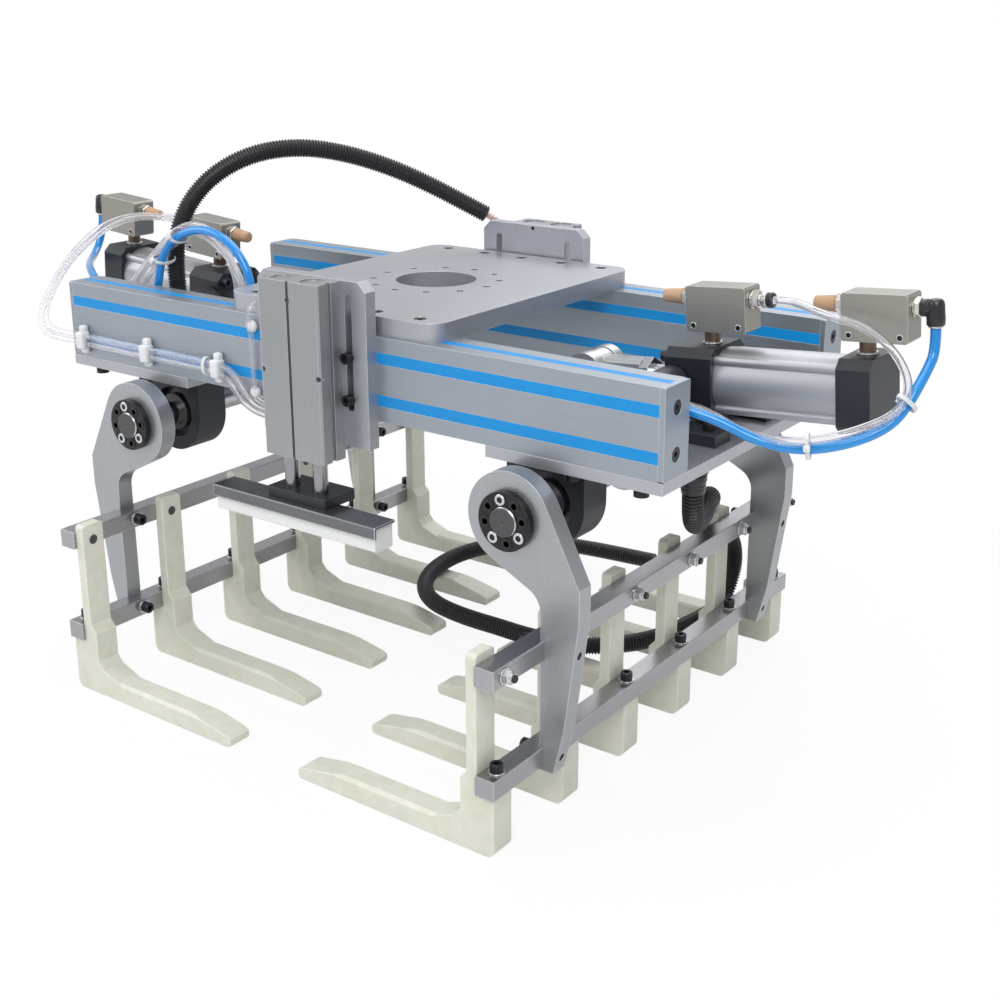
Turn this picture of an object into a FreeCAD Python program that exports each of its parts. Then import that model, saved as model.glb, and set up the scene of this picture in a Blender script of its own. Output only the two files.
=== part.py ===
import FreeCAD, Part
import math
import os
import Sketcher
from FreeCAD import Placement, Rotation, Vector

# A robot gripper for filled bags. Two rows of curved fingers swing on shafts under a frame of
# slotted beams, each row driven by its own air cylinder, and two press units hold the bag down.
# X runs along the beams, Y across them and Z up. The origin is the middle of the robot flange.

doc = FreeCAD.newDocument("bag_gripper")
sheet = doc.addObject("Spreadsheet::Sheet", "Dimensions")

SIZES = {
    # screws and their clearances
    "screw_dia": 8,
    "base_screw_dia": 10,
    "screw_gap": 0.3,
    "counterbore_gap": 1,
    # mounting plate and its fixings
    "plate_length": 297,
    "plate_width": 375,
    "plate_thick": 20,
    "plate_corner": 22,
    "flange_bore": 93,
    "flange_circle": 146,
    "flange_hole": 9,
    "plate_bolt_pitch": 58,
    # slotted beams, their ends and slot strips
    "beam_length": 820,
    "beam_width": 45,
    "beam_height": 90,
    "beam_spacing": 340,
    "slot_mouth": 12,
    "slot_inside": 20,
    "slot_lip": 4.5,
    "slot_depth": 12.5,
    "slot_bevel": 5,
    "strip_thick": 2.2,
    "end_cap_thick": 6,
    "end_cap_corner": 2,
    "cap_recess_dia": 15,
    "cap_recess_depth": 4.4,
    "cap_head_dia": 13.6,
    "cap_head_height": 4,
    "cap_socket_dia": 5.8,
    "cap_socket_depth": 2.5,
    "cap_screw_length": 18,
    # base plates under the beam ends
    "base_inner": 215,
    "base_thick": 12,
    "base_overhang": 0.5,
    "notch_end": 302,
    "notch_width": 84,
    "notch_corner": 12,
    "base_bolt_inner": 307,
    "base_bolt_outer": 385,
    "base_bolt_offset": 177.5,
    # claw shafts and their bearings
    "shaft_offset": 270,
    "shaft_dia": 30,
    "shaft_overhang": 10,
    "shaft_chamfer": 1.5,
    "centre_hole_dia": 4,
    "centre_hole_depth": 6,
    "bearing_height": 43,
    "bearing_width": 93,
    "bearing_thick": 40,
    "bearing_offset": 149,
    "insert_dia": 62,
    "insert_thick": 38,
    "insert_inner_dia": 44,
    "running_gap": 0.04,
    # claw arms
    "arm_inner_face": 210,
    "arm_thick": 20,
    "arm_hub_radius": 48.5,
    "arm_back": 352,
    "arm_knee_top": -219,
    "arm_knee_low": -254,
    "arm_shin": 336,
    "arm_shin_height": -372,
    "arm_toe": 324,
    "arm_bottom": -421,
    "arm_front": 308,
    "arm_throat_height": -238,
    "arm_throat_radius": 25,
    "locking_flange_dia": 60,
    "locking_flange_thick": 8,
    "locking_sleeve_dia": 50,
    "locking_circle": 44,
    "locking_socket_dia": 8.4,
    "locking_socket_depth": 5,
    "locking_turn": 10,
    # cross bars
    "bar_inner": 290,
    "bar_depth": 23,
    "bar_height": 21,
    "bar_half_length": 313,
    "upper_bar_top": -280,
    "lower_bar_top": -395,
    "bar_bevel": 0.8,
    # fingers
    "finger_pitch": 118,
    "finger_width": 29,
    "blade_thick": 12,
    "blade_top": -271,
    "blade_corner": 5,
    "blade_step": 9,
    "heel_step": 8,
    "heel_outer": 310,
    "heel_corner": 9,
    "root_height": 18,
    "root_length": 32,
    "root_knee": 8,
    "floor_height": -481,
    "tine_top": -458,
    "tine_tip": 52,
    "tine_taper_start": 113,
    "tine_tip_top": -468,
    "tine_bevel": 3,
    "lower_bolt_offset": 303,
    "heel_screw_grip": 18,
    "arm_screw_grip": 9,
    "lock_nut_thick": 8,
    "lock_nut_radius": 7.5,
    # lever and clevis pin
    "pin_offset": 220,
    "pin_height": -72,
    "pin_dia": 12,
    "pin_overhang": 4,
    "ring_thick": 1.5,
    "ring_gap": 0.2,
    "ring_height": 3,
    "lever_width": 52,
    "lever_slot": 25.2,
    "lever_slot_depth": 60,
    "lever_pin_radius": 22,
    "lever_hub_radius": 28,
    "pivot_gap": 3,
    # air cylinder, measured along its own axis from the clevis pin
    "cylinder_slope": 4.5,
    "knuckle_width": 24,
    "knuckle_radius": 21,
    "neck_height": 30,
    "neck_end": 62,
    "neck_bevel": 4,
    "nut_flats": 30,
    "nut_thick": 11,
    "rod_dia": 20,
    "trunnion_start": 107,
    "trunnion_thick": 19,
    "front_cap_length": 33,
    "barrel_length": 132,
    "rear_cap_length": 34,
    "cap_square": 74,
    "cap_chamfer": 9,
    "barrel_dia": 68,
    "cylinder_bore": 63,
    "piston_thick": 20,
    "piston_gap": 0.3,
    "piston_back_gap": 4,
    "rod_gap": 0.3,
    "trunnion_dia": 16,
    "trunnion_short": 2,
    "corner_screw_spacing": 52,
    "corner_screw_grip": 4,
    "ridge_dia": 10,
    "ridge_inset": 1.5,
    # trunnion pedestals
    "pedestal_gap": 2.5,
    "pedestal_thick": 32,
    "pedestal_radius": 20,
    "pedestal_foot_end": 404,
    "pedestal_foot_thick": 12,
    "foot_screw_margin": 16,
    # exhaust valves on the cylinder caps
    "valve_length": 66,
    "valve_height": 46,
    "valve_width": 33,
    "nipple_dia": 14,
    "nipple_height": 14,
    "valve_setback": 20.5,
    "port_height": 83.5,
    "valve_bevel": 2,
    "valve_hole_dia": 5.2,
    "valve_hole_rise": 6,
    "valve_hole_inset": 8,
    "hexagon_dia": 20,
    "hexagon_length": 7,
    "silencer_dia": 15,
    "silencer_length": 26,
    "fitting_dia": 15,
    "fitting_length": 24,
    "elbow_dia": 13,
    "elbow_step": 1,
    "elbow_reach": 20,
    "elbow_drop": 16,
    # press unit brackets and bodies
    "bracket_half_width": 76,
    "bracket_top": 37,
    "bracket_bottom": -139,
    "bracket_thick": 15,
    "bracket_chamfer": 10,
    "bracket_bolt_offset": 52,
    "bracket_slot_top": 23,
    "bracket_slot_bottom": -100,
    "bracket_slot_width": 9,
    "bracket_hole_dia": 5,
    "bracket_hole_drop": 4,
    "body_half_width": 42,
    "body_thick": 34,
    "body_top": 36,
    "body_bottom": -153,
    "body_bevel": 2,
    "front_groove_width": 4,
    "front_groove_depth": 5,
    "side_groove_width": 6,
    "side_groove_depth": 4,
    "plug_dia": 27,
    "plug_depth": 2,
    "face_hole_dia": 7,
    "face_hole_drop": 20,
    "edge_hole_dia": 6,
    "edge_hole_offset": 39,
    "edge_hole_height": -61,
    "face_hole_depth": 6,
    "guide_rod_dia": 16,
    "guide_rod_offset": 20.5,
    "guide_rod_gap": 0.3,
    "guide_rod_top": -24,
    "guide_rod_room": 5,
    "end_plate_half_length": 42,
    "end_plate_thick": 11,
    "end_plate_inner": 194,
    "end_plate_outer": 242,
    "end_plate_top": -191,
    "end_plate_corner": 3,
    "press_bar_half_length": 117.5,
    "press_bar_inner": 219,
    "press_bar_outer": 251,
    "press_bar_wall": 3,
    "press_bar_drop": 13,
    "press_bar_corner": 2,
    "pad_half_length": 115,
    "pad_width": 27,
    "pad_bottom": -231,
    "pad_gap": 0.5,
    "pad_corner": 2.5,
    # hoses and tubes
    "hose_dia": 22,
    "tube_dia": 8,
    "blue_tube_dia": 10,
    "gland_dia": 30,
    "gland_height": 16,
    "tube_stand_off": 2,
    "clip_length": 12,
    "clip_depth": 13,
    "clip_height": 16,
    # junction blocks, union and elbow for the tubes' hidden ends
    "tube_end_gap": 0.3,
    "junction_depth": 30,
    "junction_height": 28,
    "junction_margin": 18,
    "collar_dia": 14,
    "collar_reach": 4,
    "union_height": 24,
    "union_hexagon_height": 8,
}


# A number that remembers how it is worked out from the spreadsheet, for binding.
class Size(float):
    def __new__(cls, value, text=None):
        number = super().__new__(cls, value)
        number.text = text or f"{float(value):.6g}"
        return number

    def __add__(self, other):
        return combine(self, "+", other, float(self) + float(other))

    def __radd__(self, other):
        return combine(other, "+", self, float(other) + float(self))

    def __sub__(self, other):
        return combine(self, "-", other, float(self) - float(other))

    def __rsub__(self, other):
        return combine(other, "-", self, float(other) - float(self))

    def __mul__(self, other):
        return combine(self, "*", other, float(self) * float(other))

    def __rmul__(self, other):
        return combine(other, "*", self, float(other) * float(self))

    def __truediv__(self, other):
        return combine(self, "/", other, float(self) / float(other))

    def __neg__(self):
        return combine(0, "-", self, -float(self))


def as_size(value):
    return value if isinstance(value, Size) else Size(value)


def combine(left, sign, right, value):
    return Size(value, f"({as_size(left).text} {sign} {as_size(right).text})")


def enter(row, name, value):
    sheet.set(f"A{row}", name)
    sheet.set(f"B{row}", str(value))
    sheet.setAlias(f"B{row}", name)
    return Size(value, f"Dimensions.{name}")


S = {name: enter(row, name, value) for row, (name, value) in enumerate(SIZES.items(), start=1)}
doc.recompute()

# Places that several pieces share.
beam_centre = S["beam_spacing"] / 2
beam_outer = beam_centre + S["beam_width"] / 2
beam_top = -S["plate_thick"]
beam_bottom = beam_top - S["beam_height"]
beam_end = S["beam_length"] / 2
frame_end = beam_end + S["end_cap_thick"]
slot_heights = [beam_top - S["beam_width"] / 2, beam_bottom + S["beam_width"] / 2]
base_top = beam_bottom
base_bottom = base_top - S["base_thick"]
base_edge = beam_outer + S["base_overhang"]
shaft_x = S["shaft_offset"]
shaft_z = base_bottom - S["bearing_height"]
shaft_radius = S["shaft_dia"] / 2
arm_outer_face = S["arm_inner_face"] + S["arm_thick"]
shaft_end = arm_outer_face + S["shaft_overhang"]
finger_rows = [S["finger_pitch"] * (k - 2.5) for k in range(6)]
bar_outer = S["bar_inner"] + S["bar_depth"]
half_turn = Rotation(Vector(0, 0, 1), 180)
handed_over = []

PLANES = {"XY": ("XY_Plane", 1), "XZ": ("XZ_Plane", -1), "YZ": ("YZ_Plane", 1)}
AXES = {
    "X": Rotation(Vector(0, 1, 0), 90),
    "Y": Rotation(Vector(1, 0, 0), -90),
    "Z": Rotation(),
}


def bind(thing, path, value):
    thing.setExpression(path, as_size(value).text)


def place(thing, x=0, y=0, z=0, rotation=Rotation()):
    thing.Placement = Placement(Vector(x, y, z), rotation)
    for path, value in (("x", x), ("y", y), ("z", z)):
        bind(thing, f"Placement.Base.{path}", value)
    return thing


def new(kind, name):
    thing = doc.addObject(kind, name)
    thing.Label = name
    return thing


def box(name, x, y, z):
    thing = new("Part::Box", name)
    for path, (low, high) in (("Length", x), ("Width", y), ("Height", z)):
        bind(thing, path, as_size(high) - low)
    return place(thing, x[0], y[0], z[0])


def cylinder(name, radius, start, length, axis="Z"):
    thing = new("Part::Cylinder", name)
    bind(thing, "Radius", radius)
    bind(thing, "Height", length)
    return place(thing, *start, rotation=AXES[axis])


def prism(name, sides, radius, start, length, axis="Z"):
    thing = new("Part::Prism", name)
    thing.Polygon = sides
    bind(thing, "Circumradius", radius)
    bind(thing, "Height", length)
    return place(thing, *start, rotation=AXES[axis])


def fuse(name, *pieces):
    thing = new("Part::MultiFuse", name)
    thing.Shapes = list(pieces)
    thing.Refine = True
    return thing


def cut(name, base, *tools):
    thing = new("Part::Cut", name)
    thing.Base = base
    thing.Tool = tools[0] if len(tools) == 1 else group(f"{name}_cuts", *tools)
    return thing


def group(name, *pieces):
    thing = new("Part::Compound", name)
    thing.Links = list(pieces)
    return thing


# One more of a piece, moved from where it was drawn.
def copy(source, x=0, y=0, z=0, rotation=Rotation()):
    link = doc.addObject("App::Link", f"{source.Name}_copy")
    link.LinkedObject = source
    return place(link, x, y, z, rotation)


def copies(name, source, places):
    return group(name, *[copy(source, *spot) for spot in places])


# The same piece on the other side of the gripper, half a turn about the vertical.
def opposite(name, source):
    thing = new("App::Link", f"{name}_turned")
    thing.LinkedObject = source
    thing.Placement = Placement(Vector(), half_turn)
    return group(name, thing)


def hand_over(node, piece):
    handed_over.append((node, piece))
    return piece


def sketch_on(body, plane, level):
    role, sign = PLANES[plane]
    sketch = body.newObject("Sketcher::SketchObject", f"{body.Name}_sketch")
    sketch.AttachmentSupport = [(p, "") for p in body.Origin.OriginFeatures if p.Role == role]
    sketch.MapMode = "FlatFace"
    bind(sketch, "AttachmentOffset.Base.z", as_size(level) * sign)
    return sketch


def hold(sketch, kind, index, point, value):
    number = sketch.addConstraint(Sketcher.Constraint(kind, -1, 1, index, point, float(value)))
    sketch.setExpression(f"Constraints[{number}]", as_size(value).text)


def outline(sketch, points):
    first = sketch.GeometryCount
    spots = [Vector(u, v, 0) for u, v in points]
    for spot, following in zip(spots, spots[1:] + spots[:1]):
        sketch.addGeometry(Part.LineSegment(spot, following))
    for k, (u, v) in enumerate(points):
        after = first + (k + 1) % len(points)
        sketch.addConstraint(Sketcher.Constraint("Coincident", first + k, 2, after, 1))
        hold(sketch, "DistanceX", first + k, 1, u)
        hold(sketch, "DistanceY", first + k, 1, v)


def circles(sketch, radius, centres):
    for u, v in centres:
        index = sketch.addGeometry(Part.Circle(Vector(u, v, 0), Vector(0, 0, 1), radius))
        hold(sketch, "DistanceX", index, 3, u)
        hold(sketch, "DistanceY", index, 3, v)
        number = sketch.addConstraint(Sketcher.Constraint("Radius", index, float(radius)))
        sketch.setExpression(f"Constraints[{number}]", as_size(radius).text)


def feature(body, kind, plane, low, high, draw):
    grows = kind == "Pad"
    along = PLANES[plane][1] > 0
    sketch = sketch_on(body, plane, low if grows == along else high)
    draw(sketch)
    step = body.newObject(f"PartDesign::{kind}", f"{body.Name}_{kind.lower()}")
    step.Profile = sketch
    bind(step, "Length", as_size(high) - low)
    body.Tip = step
    return step


def pad(body, plane, low, high, points):
    return feature(body, "Pad", plane, low, high, lambda sketch: outline(sketch, points))


def pad_circle(body, plane, low, high, radius, centre):
    return feature(body, "Pad", plane, low, high, lambda sketch: circles(sketch, radius, [centre]))


def pocket(body, plane, low, high, points):
    return feature(body, "Pocket", plane, low, high, lambda sketch: outline(sketch, points))


def bore(body, plane, low, high, radius, centres):
    return feature(body, "Pocket", plane, low, high, lambda sketch: circles(sketch, radius, centres))


def rectangle(u_low, u_high, v_low, v_high):
    return [(u_low, v_low), (u_high, v_low), (u_high, v_high), (u_low, v_high)]


# Tests for choosing edges by where their two ends lie.
def runs_along(axis, spots):
    index = "XYZ".index(axis)

    def test(start, end):
        flat = [[point[k] for k in range(3) if k != index] for point in (start, end)]
        return any(all(math.dist(place, spot) < 0.05 for place in flat) for spot in spots)

    return test


def lies_at(axis, levels):
    index = "XYZ".index(axis)

    def test(start, end):
        return any(abs(start[index] - level) + abs(end[index] - level) < 0.05 for level in levels)

    return test


# Rounds or bevels every edge of the body so far that passes the test.
def ease(body, kind, size, test):
    doc.recompute()
    base = body.Tip
    names = []
    for number, edge in enumerate(base.Shape.Edges, start=1):
        ends = [vertex.Point for vertex in edge.Vertexes]
        if test(ends[0], ends[-1]):
            names.append(f"Edge{number}")
    step = body.newObject(f"PartDesign::{kind}", f"{body.Name}_{kind.lower()}")
    step.Base = (base, names)
    bind(step, "Radius" if kind == "Fillet" else "Size", size)
    body.Tip = step
    return step


# A socket head cap screw along +Z, its head above z = 0 and its shank below. The head is as high
# as the thread is thick and half as wide again, and its socket goes half way down.
def cap_screw(name, dia, length):
    head = cylinder(f"{name}_head", dia * 0.75, (0, 0, 0), dia)
    shank = cylinder(f"{name}_shank", dia / 2, (0, 0, -length), length)
    socket = prism(f"{name}_socket", 6, dia * 0.45, (0, 0, dia / 2), dia / 2)
    return cut(name, fuse(f"{name}_blank", head, shank), socket)


# Radius of the hole that a screw passes through.
def clear_of(dia):
    return dia / 2 + S["screw_gap"]


# Mounting plate: rounded corners, centre bore, robot bolt circle and counterbored beam screws.
plate_x = S["plate_length"] / 2
plate_y = S["plate_width"] / 2
screw_dia = S["screw_dia"]
plate_spots = [(S["plate_bolt_pitch"] * k, beam_centre * side) for side in (-1, 1) for k in range(-2, 3)]
plate = new("PartDesign::Body", "mounting_plate")
pad(plate, "XY", -S["plate_thick"], 0, rectangle(-plate_x, plate_x, -plate_y, plate_y))
plate_corners = [(float(x), float(y)) for x in (-plate_x, plate_x) for y in (-plate_y, plate_y)]
ease(plate, "Fillet", S["plate_corner"], runs_along("Z", plate_corners))
bore(plate, "XY", -S["plate_thick"], 0, S["flange_bore"] / 2, [(0, 0)])
flange_holes = 12
flange_turns = [2 * math.pi * k / flange_holes for k in range(flange_holes)]
flange_spots = [(S["flange_circle"] / 2 * math.cos(turn), S["flange_circle"] / 2 * math.sin(turn))
                for turn in flange_turns]
bore(plate, "XY", -S["plate_thick"], 0, S["flange_hole"] / 2, flange_spots)
head_depth = screw_dia + S["counterbore_gap"]
bore(plate, "XY", -head_depth, 0, screw_dia * 0.75 + S["counterbore_gap"], plate_spots)
bore(plate, "XY", -S["plate_thick"], -head_depth, clear_of(screw_dia), plate_spots)
hand_over("mounting_plate", plate)

plate_screw = cap_screw("plate_screw", screw_dia, S["plate_thick"] - head_depth)
hand_over("plate_screws", copies("plate_screws", plate_screw, [(x, y, -head_depth) for x, y in plate_spots]))

# Slotted beam: one slot on top and underneath, two on each side.
beam = new("PartDesign::Body", "front_beam")
half_mouth = S["slot_mouth"] / 2
half_inside = S["slot_inside"] / 2
half_floor = half_inside - S["slot_bevel"]
beam_y = -beam_centre
front_face = beam_y - S["beam_width"] / 2
back_face = beam_y + S["beam_width"] / 2


def slot_steps(edge, inward):
    # distances from the beam's face to the lip, and on to the narrow floor of the slot
    return edge, edge + inward * S["slot_lip"], edge + inward * S["slot_depth"]


def side_slot(face, inward, height):
    mouth, lip, floor = slot_steps(face, inward)
    down = [(mouth, height - half_mouth), (lip, height - half_mouth), (lip, height - half_inside),
            (floor - inward * S["slot_bevel"], height - half_inside), (floor, height - half_floor)]
    up = [(y, height * 2 - z) for y, z in reversed(down)]
    return down + up


def level_slot(edge, inward):
    mouth, lip, floor = slot_steps(edge, inward)
    left = [(beam_y - half_mouth, mouth), (beam_y - half_mouth, lip), (beam_y - half_inside, lip),
            (beam_y - half_inside, floor - inward * S["slot_bevel"]), (beam_y - half_floor, floor)]
    right = [(beam_y * 2 - y, z) for y, z in reversed(left)]
    return left + right


def beam_section(sketch):
    front = []
    for height in reversed(slot_heights):
        front += side_slot(front_face, 1, height)
    back = []
    for height in slot_heights:
        back += list(reversed(side_slot(back_face, -1, height)))
    top = level_slot(beam_top, -1)
    under = list(reversed(level_slot(beam_bottom, 1)))
    outline(sketch, [(front_face, beam_bottom), *front, (front_face, beam_top), *top,
                     (back_face, beam_top), *back, (back_face, beam_bottom), *under])


feature(beam, "Pad", "YZ", -beam_end, beam_end, beam_section)
core_spots = [(beam_y, height) for height in slot_heights]
bore(beam, "YZ", -beam_end, beam_end, clear_of(screw_dia), core_spots)
hand_over("front_beam", beam)
hand_over("rear_beam", opposite("rear_beam", beam))

# Covers that close the beam ends, with two sunk screws one above the other.
cap = new("PartDesign::Body", "end_cap")
pad(cap, "YZ", beam_end, frame_end, rectangle(front_face, back_face, beam_bottom, beam_top))
cap_rim = [(float(y), float(z)) for y in (front_face, back_face) for z in (beam_top, beam_bottom)]
ease(cap, "Fillet", S["end_cap_corner"], runs_along("X", cap_rim))
cap_seat = frame_end - S["cap_recess_depth"]
bore(cap, "YZ", beam_end, frame_end, clear_of(screw_dia), core_spots)
bore(cap, "YZ", cap_seat, frame_end, S["cap_recess_dia"] / 2, core_spots)
beam_ends = [(0, 0, 0, Rotation()), (0, beam_centre * 2, 0, Rotation())]


# The four beam ends: as drawn, on the rear beam, and both again half a turn round.
def at_beam_ends(name, source):
    pair = copies(f"{name}_pair", source, beam_ends)
    return group(name, pair, opposite(f"{name}_far", pair))


hand_over("end_caps", at_beam_ends("end_caps", cap))
cap_head = cylinder("cap_head", S["cap_head_dia"] / 2, (0, 0, 0), S["cap_head_height"])
cap_shank = cylinder("cap_shank", screw_dia / 2, (0, 0, -S["cap_screw_length"]), S["cap_screw_length"])
cap_socket = prism("cap_socket", 6, S["cap_socket_dia"] / 2,
                   (0, 0, S["cap_head_height"] - S["cap_socket_depth"]), S["cap_socket_depth"])
flat_screw = cut("flat_screw", fuse("flat_screw_blank", cap_head, cap_shank), cap_socket)
cap_pair = copies("cap_pair", flat_screw, [(cap_seat, y, z, AXES["X"]) for y, z in core_spots])
hand_over("end_cap_screws", at_beam_ends("end_cap_screws", cap_pair))

# Blue strips that close the slots, flush with the beam faces.
strip_low = beam_top - S["strip_thick"]
strips = [box("top_strip", (-beam_end, beam_end), (beam_y - half_mouth, beam_y + half_mouth),
              (strip_low, beam_top))]
for label, face, inward in (("front", front_face, 1), ("back", back_face, -1)):
    depth = (face, face + S["strip_thick"]) if inward > 0 else (face - S["strip_thick"], face)
    for level, height in zip(("upper", "lower"), slot_heights):
        strips.append(box(f"{label}_{level}_strip", (-beam_end, beam_end), depth,
                          (height - half_mouth, height + half_mouth)))
strip_set = group("strip_set", *strips)
hand_over("slot_strips", group("slot_strips", strip_set, opposite("rear_strips", strip_set)))

# Base plates under both beams at each end, notched for the lever.
base_bolt_dia = S["base_screw_dia"]
base_bolt_spots = [(x, S["base_bolt_offset"] * side)
                   for x in (S["base_bolt_inner"], S["base_bolt_outer"]) for side in (-1, 1)]
cos_slope = Size(math.cos(math.radians(S["cylinder_slope"])), f"cos({S['cylinder_slope'].text} * 1deg)")
sin_slope = Size(math.sin(math.radians(S["cylinder_slope"])), f"sin({S['cylinder_slope'].text} * 1deg)")
trunnion_along = S["trunnion_start"] + S["trunnion_thick"] / 2
trunnion_x = S["pin_offset"] + trunnion_along * cos_slope
trunnion_z = S["pin_height"] + trunnion_along * sin_slope
pedestal_inner = S["cap_square"] / 2 + S["pedestal_gap"]
pedestal_outer = pedestal_inner + S["pedestal_thick"]
pedestal_y = (pedestal_inner + pedestal_outer) / 2
foot_bolt_spots = [(S["pedestal_foot_end"] - S["foot_screw_margin"], pedestal_y * side) for side in (-1, 1)]
base = new("PartDesign::Body", "base_plate")
half_notch = S["notch_width"] / 2
pad(base, "XY", base_bottom, base_top, [
    (S["base_inner"], -base_edge), (frame_end, -base_edge), (frame_end, base_edge),
    (S["base_inner"], base_edge), (S["base_inner"], half_notch), (S["notch_end"], half_notch),
    (S["notch_end"], -half_notch), (S["base_inner"], -half_notch)])
notch_corners = [(float(S["notch_end"]), side * float(half_notch)) for side in (-1, 1)]
ease(base, "Fillet", S["notch_corner"], runs_along("Z", notch_corners))
bore(base, "XY", base_bottom, base_top, clear_of(base_bolt_dia), base_bolt_spots)
bore(base, "XY", base_bottom, base_top, clear_of(screw_dia), foot_bolt_spots)
hand_over("base_plates", group("base_plates", copy(base), opposite("left_base_plate", base)))

base_screw = cap_screw("base_screw", base_bolt_dia, S["base_thick"])
foot_screw = cap_screw("foot_screw", screw_dia, S["pedestal_foot_thick"] + S["base_thick"])
upside_down = Rotation(Vector(1, 0, 0), 180)
base_screw_set = copies("base_screw_set", base_screw,
                        [(x, y, base_bottom, upside_down) for x, y in base_bolt_spots])
foot_top = base_top + S["pedestal_foot_thick"]
foot_screw_set = copies("foot_screw_set", foot_screw, [(x, y, foot_top) for x, y in foot_bolt_spots])

# Pillow blocks under the base plates: an arched housing round a ball bearing insert.
housing = new("PartDesign::Body", "bearing_housing")
half_housing = S["bearing_width"] / 2
housing_front = -S["bearing_offset"] - S["bearing_thick"] / 2
housing_back = -S["bearing_offset"] + S["bearing_thick"] / 2
pad(housing, "XZ", housing_front, housing_back,
    rectangle(shaft_x - half_housing, shaft_x + half_housing, shaft_z, base_bottom))
pad_circle(housing, "XZ", housing_front, housing_back, half_housing, (shaft_x, shaft_z))
pocket(housing, "XZ", housing_front, housing_back,
       rectangle(shaft_x - half_housing, shaft_x + half_housing, base_bottom, base_top))
bore(housing, "XZ", housing_front, housing_back, S["insert_dia"] / 2, [(shaft_x, shaft_z)])
insert = new("PartDesign::Body", "bearing_insert")
insert_half = S["insert_thick"] / 2
insert_y = -S["bearing_offset"]
pad_circle(insert, "XZ", insert_y - insert_half / 2, insert_y + insert_half / 2, S["insert_dia"] / 2,
           (shaft_x, shaft_z))
pad_circle(insert, "XZ", insert_y - insert_half, insert_y + insert_half, S["insert_inner_dia"] / 2,
           (shaft_x, shaft_z))
bore(insert, "XZ", insert_y - insert_half, insert_y + insert_half, shaft_radius + S["running_gap"],
     [(shaft_x, shaft_z)])
across = [(0, 0, 0), (0, S["bearing_offset"] * 2, 0)]


# The four bearing places, as drawn and repeated across the beams and half a turn round.
def at_bearings(name, source):
    pair = copies(f"{name}_pair", source, across)
    return group(name, pair, opposite(f"{name}_far", pair))


hand_over("bearing_housings", at_bearings("bearing_housings", housing))
hand_over("bearing_inserts", at_bearings("bearing_inserts", insert))

# Pedestals that carry the cylinder by its trunnion pins.
pedestal = new("PartDesign::Body", "pedestal")
pedestal_back = trunnion_x - S["pedestal_radius"]
pad(pedestal, "XZ", -pedestal_outer, -pedestal_inner, [
    (pedestal_back, base_top), (S["pedestal_foot_end"], base_top),
    (S["pedestal_foot_end"], foot_top), (trunnion_x + S["pedestal_radius"], foot_top),
    (trunnion_x + S["pedestal_radius"], trunnion_z), (pedestal_back, trunnion_z)])
pad_circle(pedestal, "XZ", -pedestal_outer, -pedestal_inner, S["pedestal_radius"], (trunnion_x, trunnion_z))
bore(pedestal, "XZ", -pedestal_outer, -pedestal_inner, S["trunnion_dia"] / 2 + S["running_gap"],
     [(trunnion_x, trunnion_z)])
bore(pedestal, "XY", base_top, foot_top, clear_of(screw_dia), [foot_bolt_spots[0]])
pedestal_pair = copies("pedestal_pair", pedestal, [(0, 0, 0), (0, pedestal_y * 2, 0)])
left_pedestals = opposite("left_pedestals", pedestal_pair)
hand_over("trunnion_pedestals", group("trunnion_pedestals", pedestal_pair, left_pedestals))

# Press unit brackets, bolted through upright slots to the T-slots of the beams.
bracket = new("PartDesign::Body", "press_bracket")
bracket_front = front_face - S["bracket_thick"]
half_bracket = S["bracket_half_width"]
pad(bracket, "XZ", bracket_front, front_face,
    rectangle(-half_bracket, half_bracket, S["bracket_bottom"], S["bracket_top"]))
bracket_tops = [(side * float(half_bracket), float(S["bracket_top"])) for side in (-1, 1)]
ease(bracket, "Chamfer", S["bracket_chamfer"], runs_along("Y", bracket_tops))
half_slot = S["bracket_slot_width"] / 2
for side in (-1, 1):
    middle = S["bracket_bolt_offset"] * side
    pocket(bracket, "XZ", bracket_front, front_face,
           rectangle(middle - half_slot, middle + half_slot, S["bracket_slot_bottom"], S["bracket_slot_top"]))
    ends = [(float(middle + half_slot * k), float(z)) for k in (-1, 1)
            for z in (S["bracket_slot_bottom"], S["bracket_slot_top"])]
    ease(bracket, "Fillet", half_slot * 0.98, runs_along("Y", ends))
bore(bracket, "XZ", bracket_front, front_face, S["bracket_hole_dia"] / 2,
     [(0, S["bracket_top"] - S["bracket_hole_drop"])])
hand_over("press_brackets", group("press_brackets", copy(bracket), opposite("rear_bracket", bracket)))
bracket_screw = cap_screw("bracket_screw", screw_dia, S["bracket_thick"])
facing_front = Rotation(Vector(1, 0, 0), 90)
bracket_screws = copies("bracket_screws", bracket_screw, [
    (S["bracket_bolt_offset"] * side, bracket_front, z, facing_front)
    for side in (-1, 1) for z in slot_heights])
frame_screws = group("frame_screws", base_screw_set, foot_screw_set, bracket_screws)
hand_over("frame_bolts", group("frame_bolts", copy(frame_screws), opposite("frame_bolts_far", frame_screws)))

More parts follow.
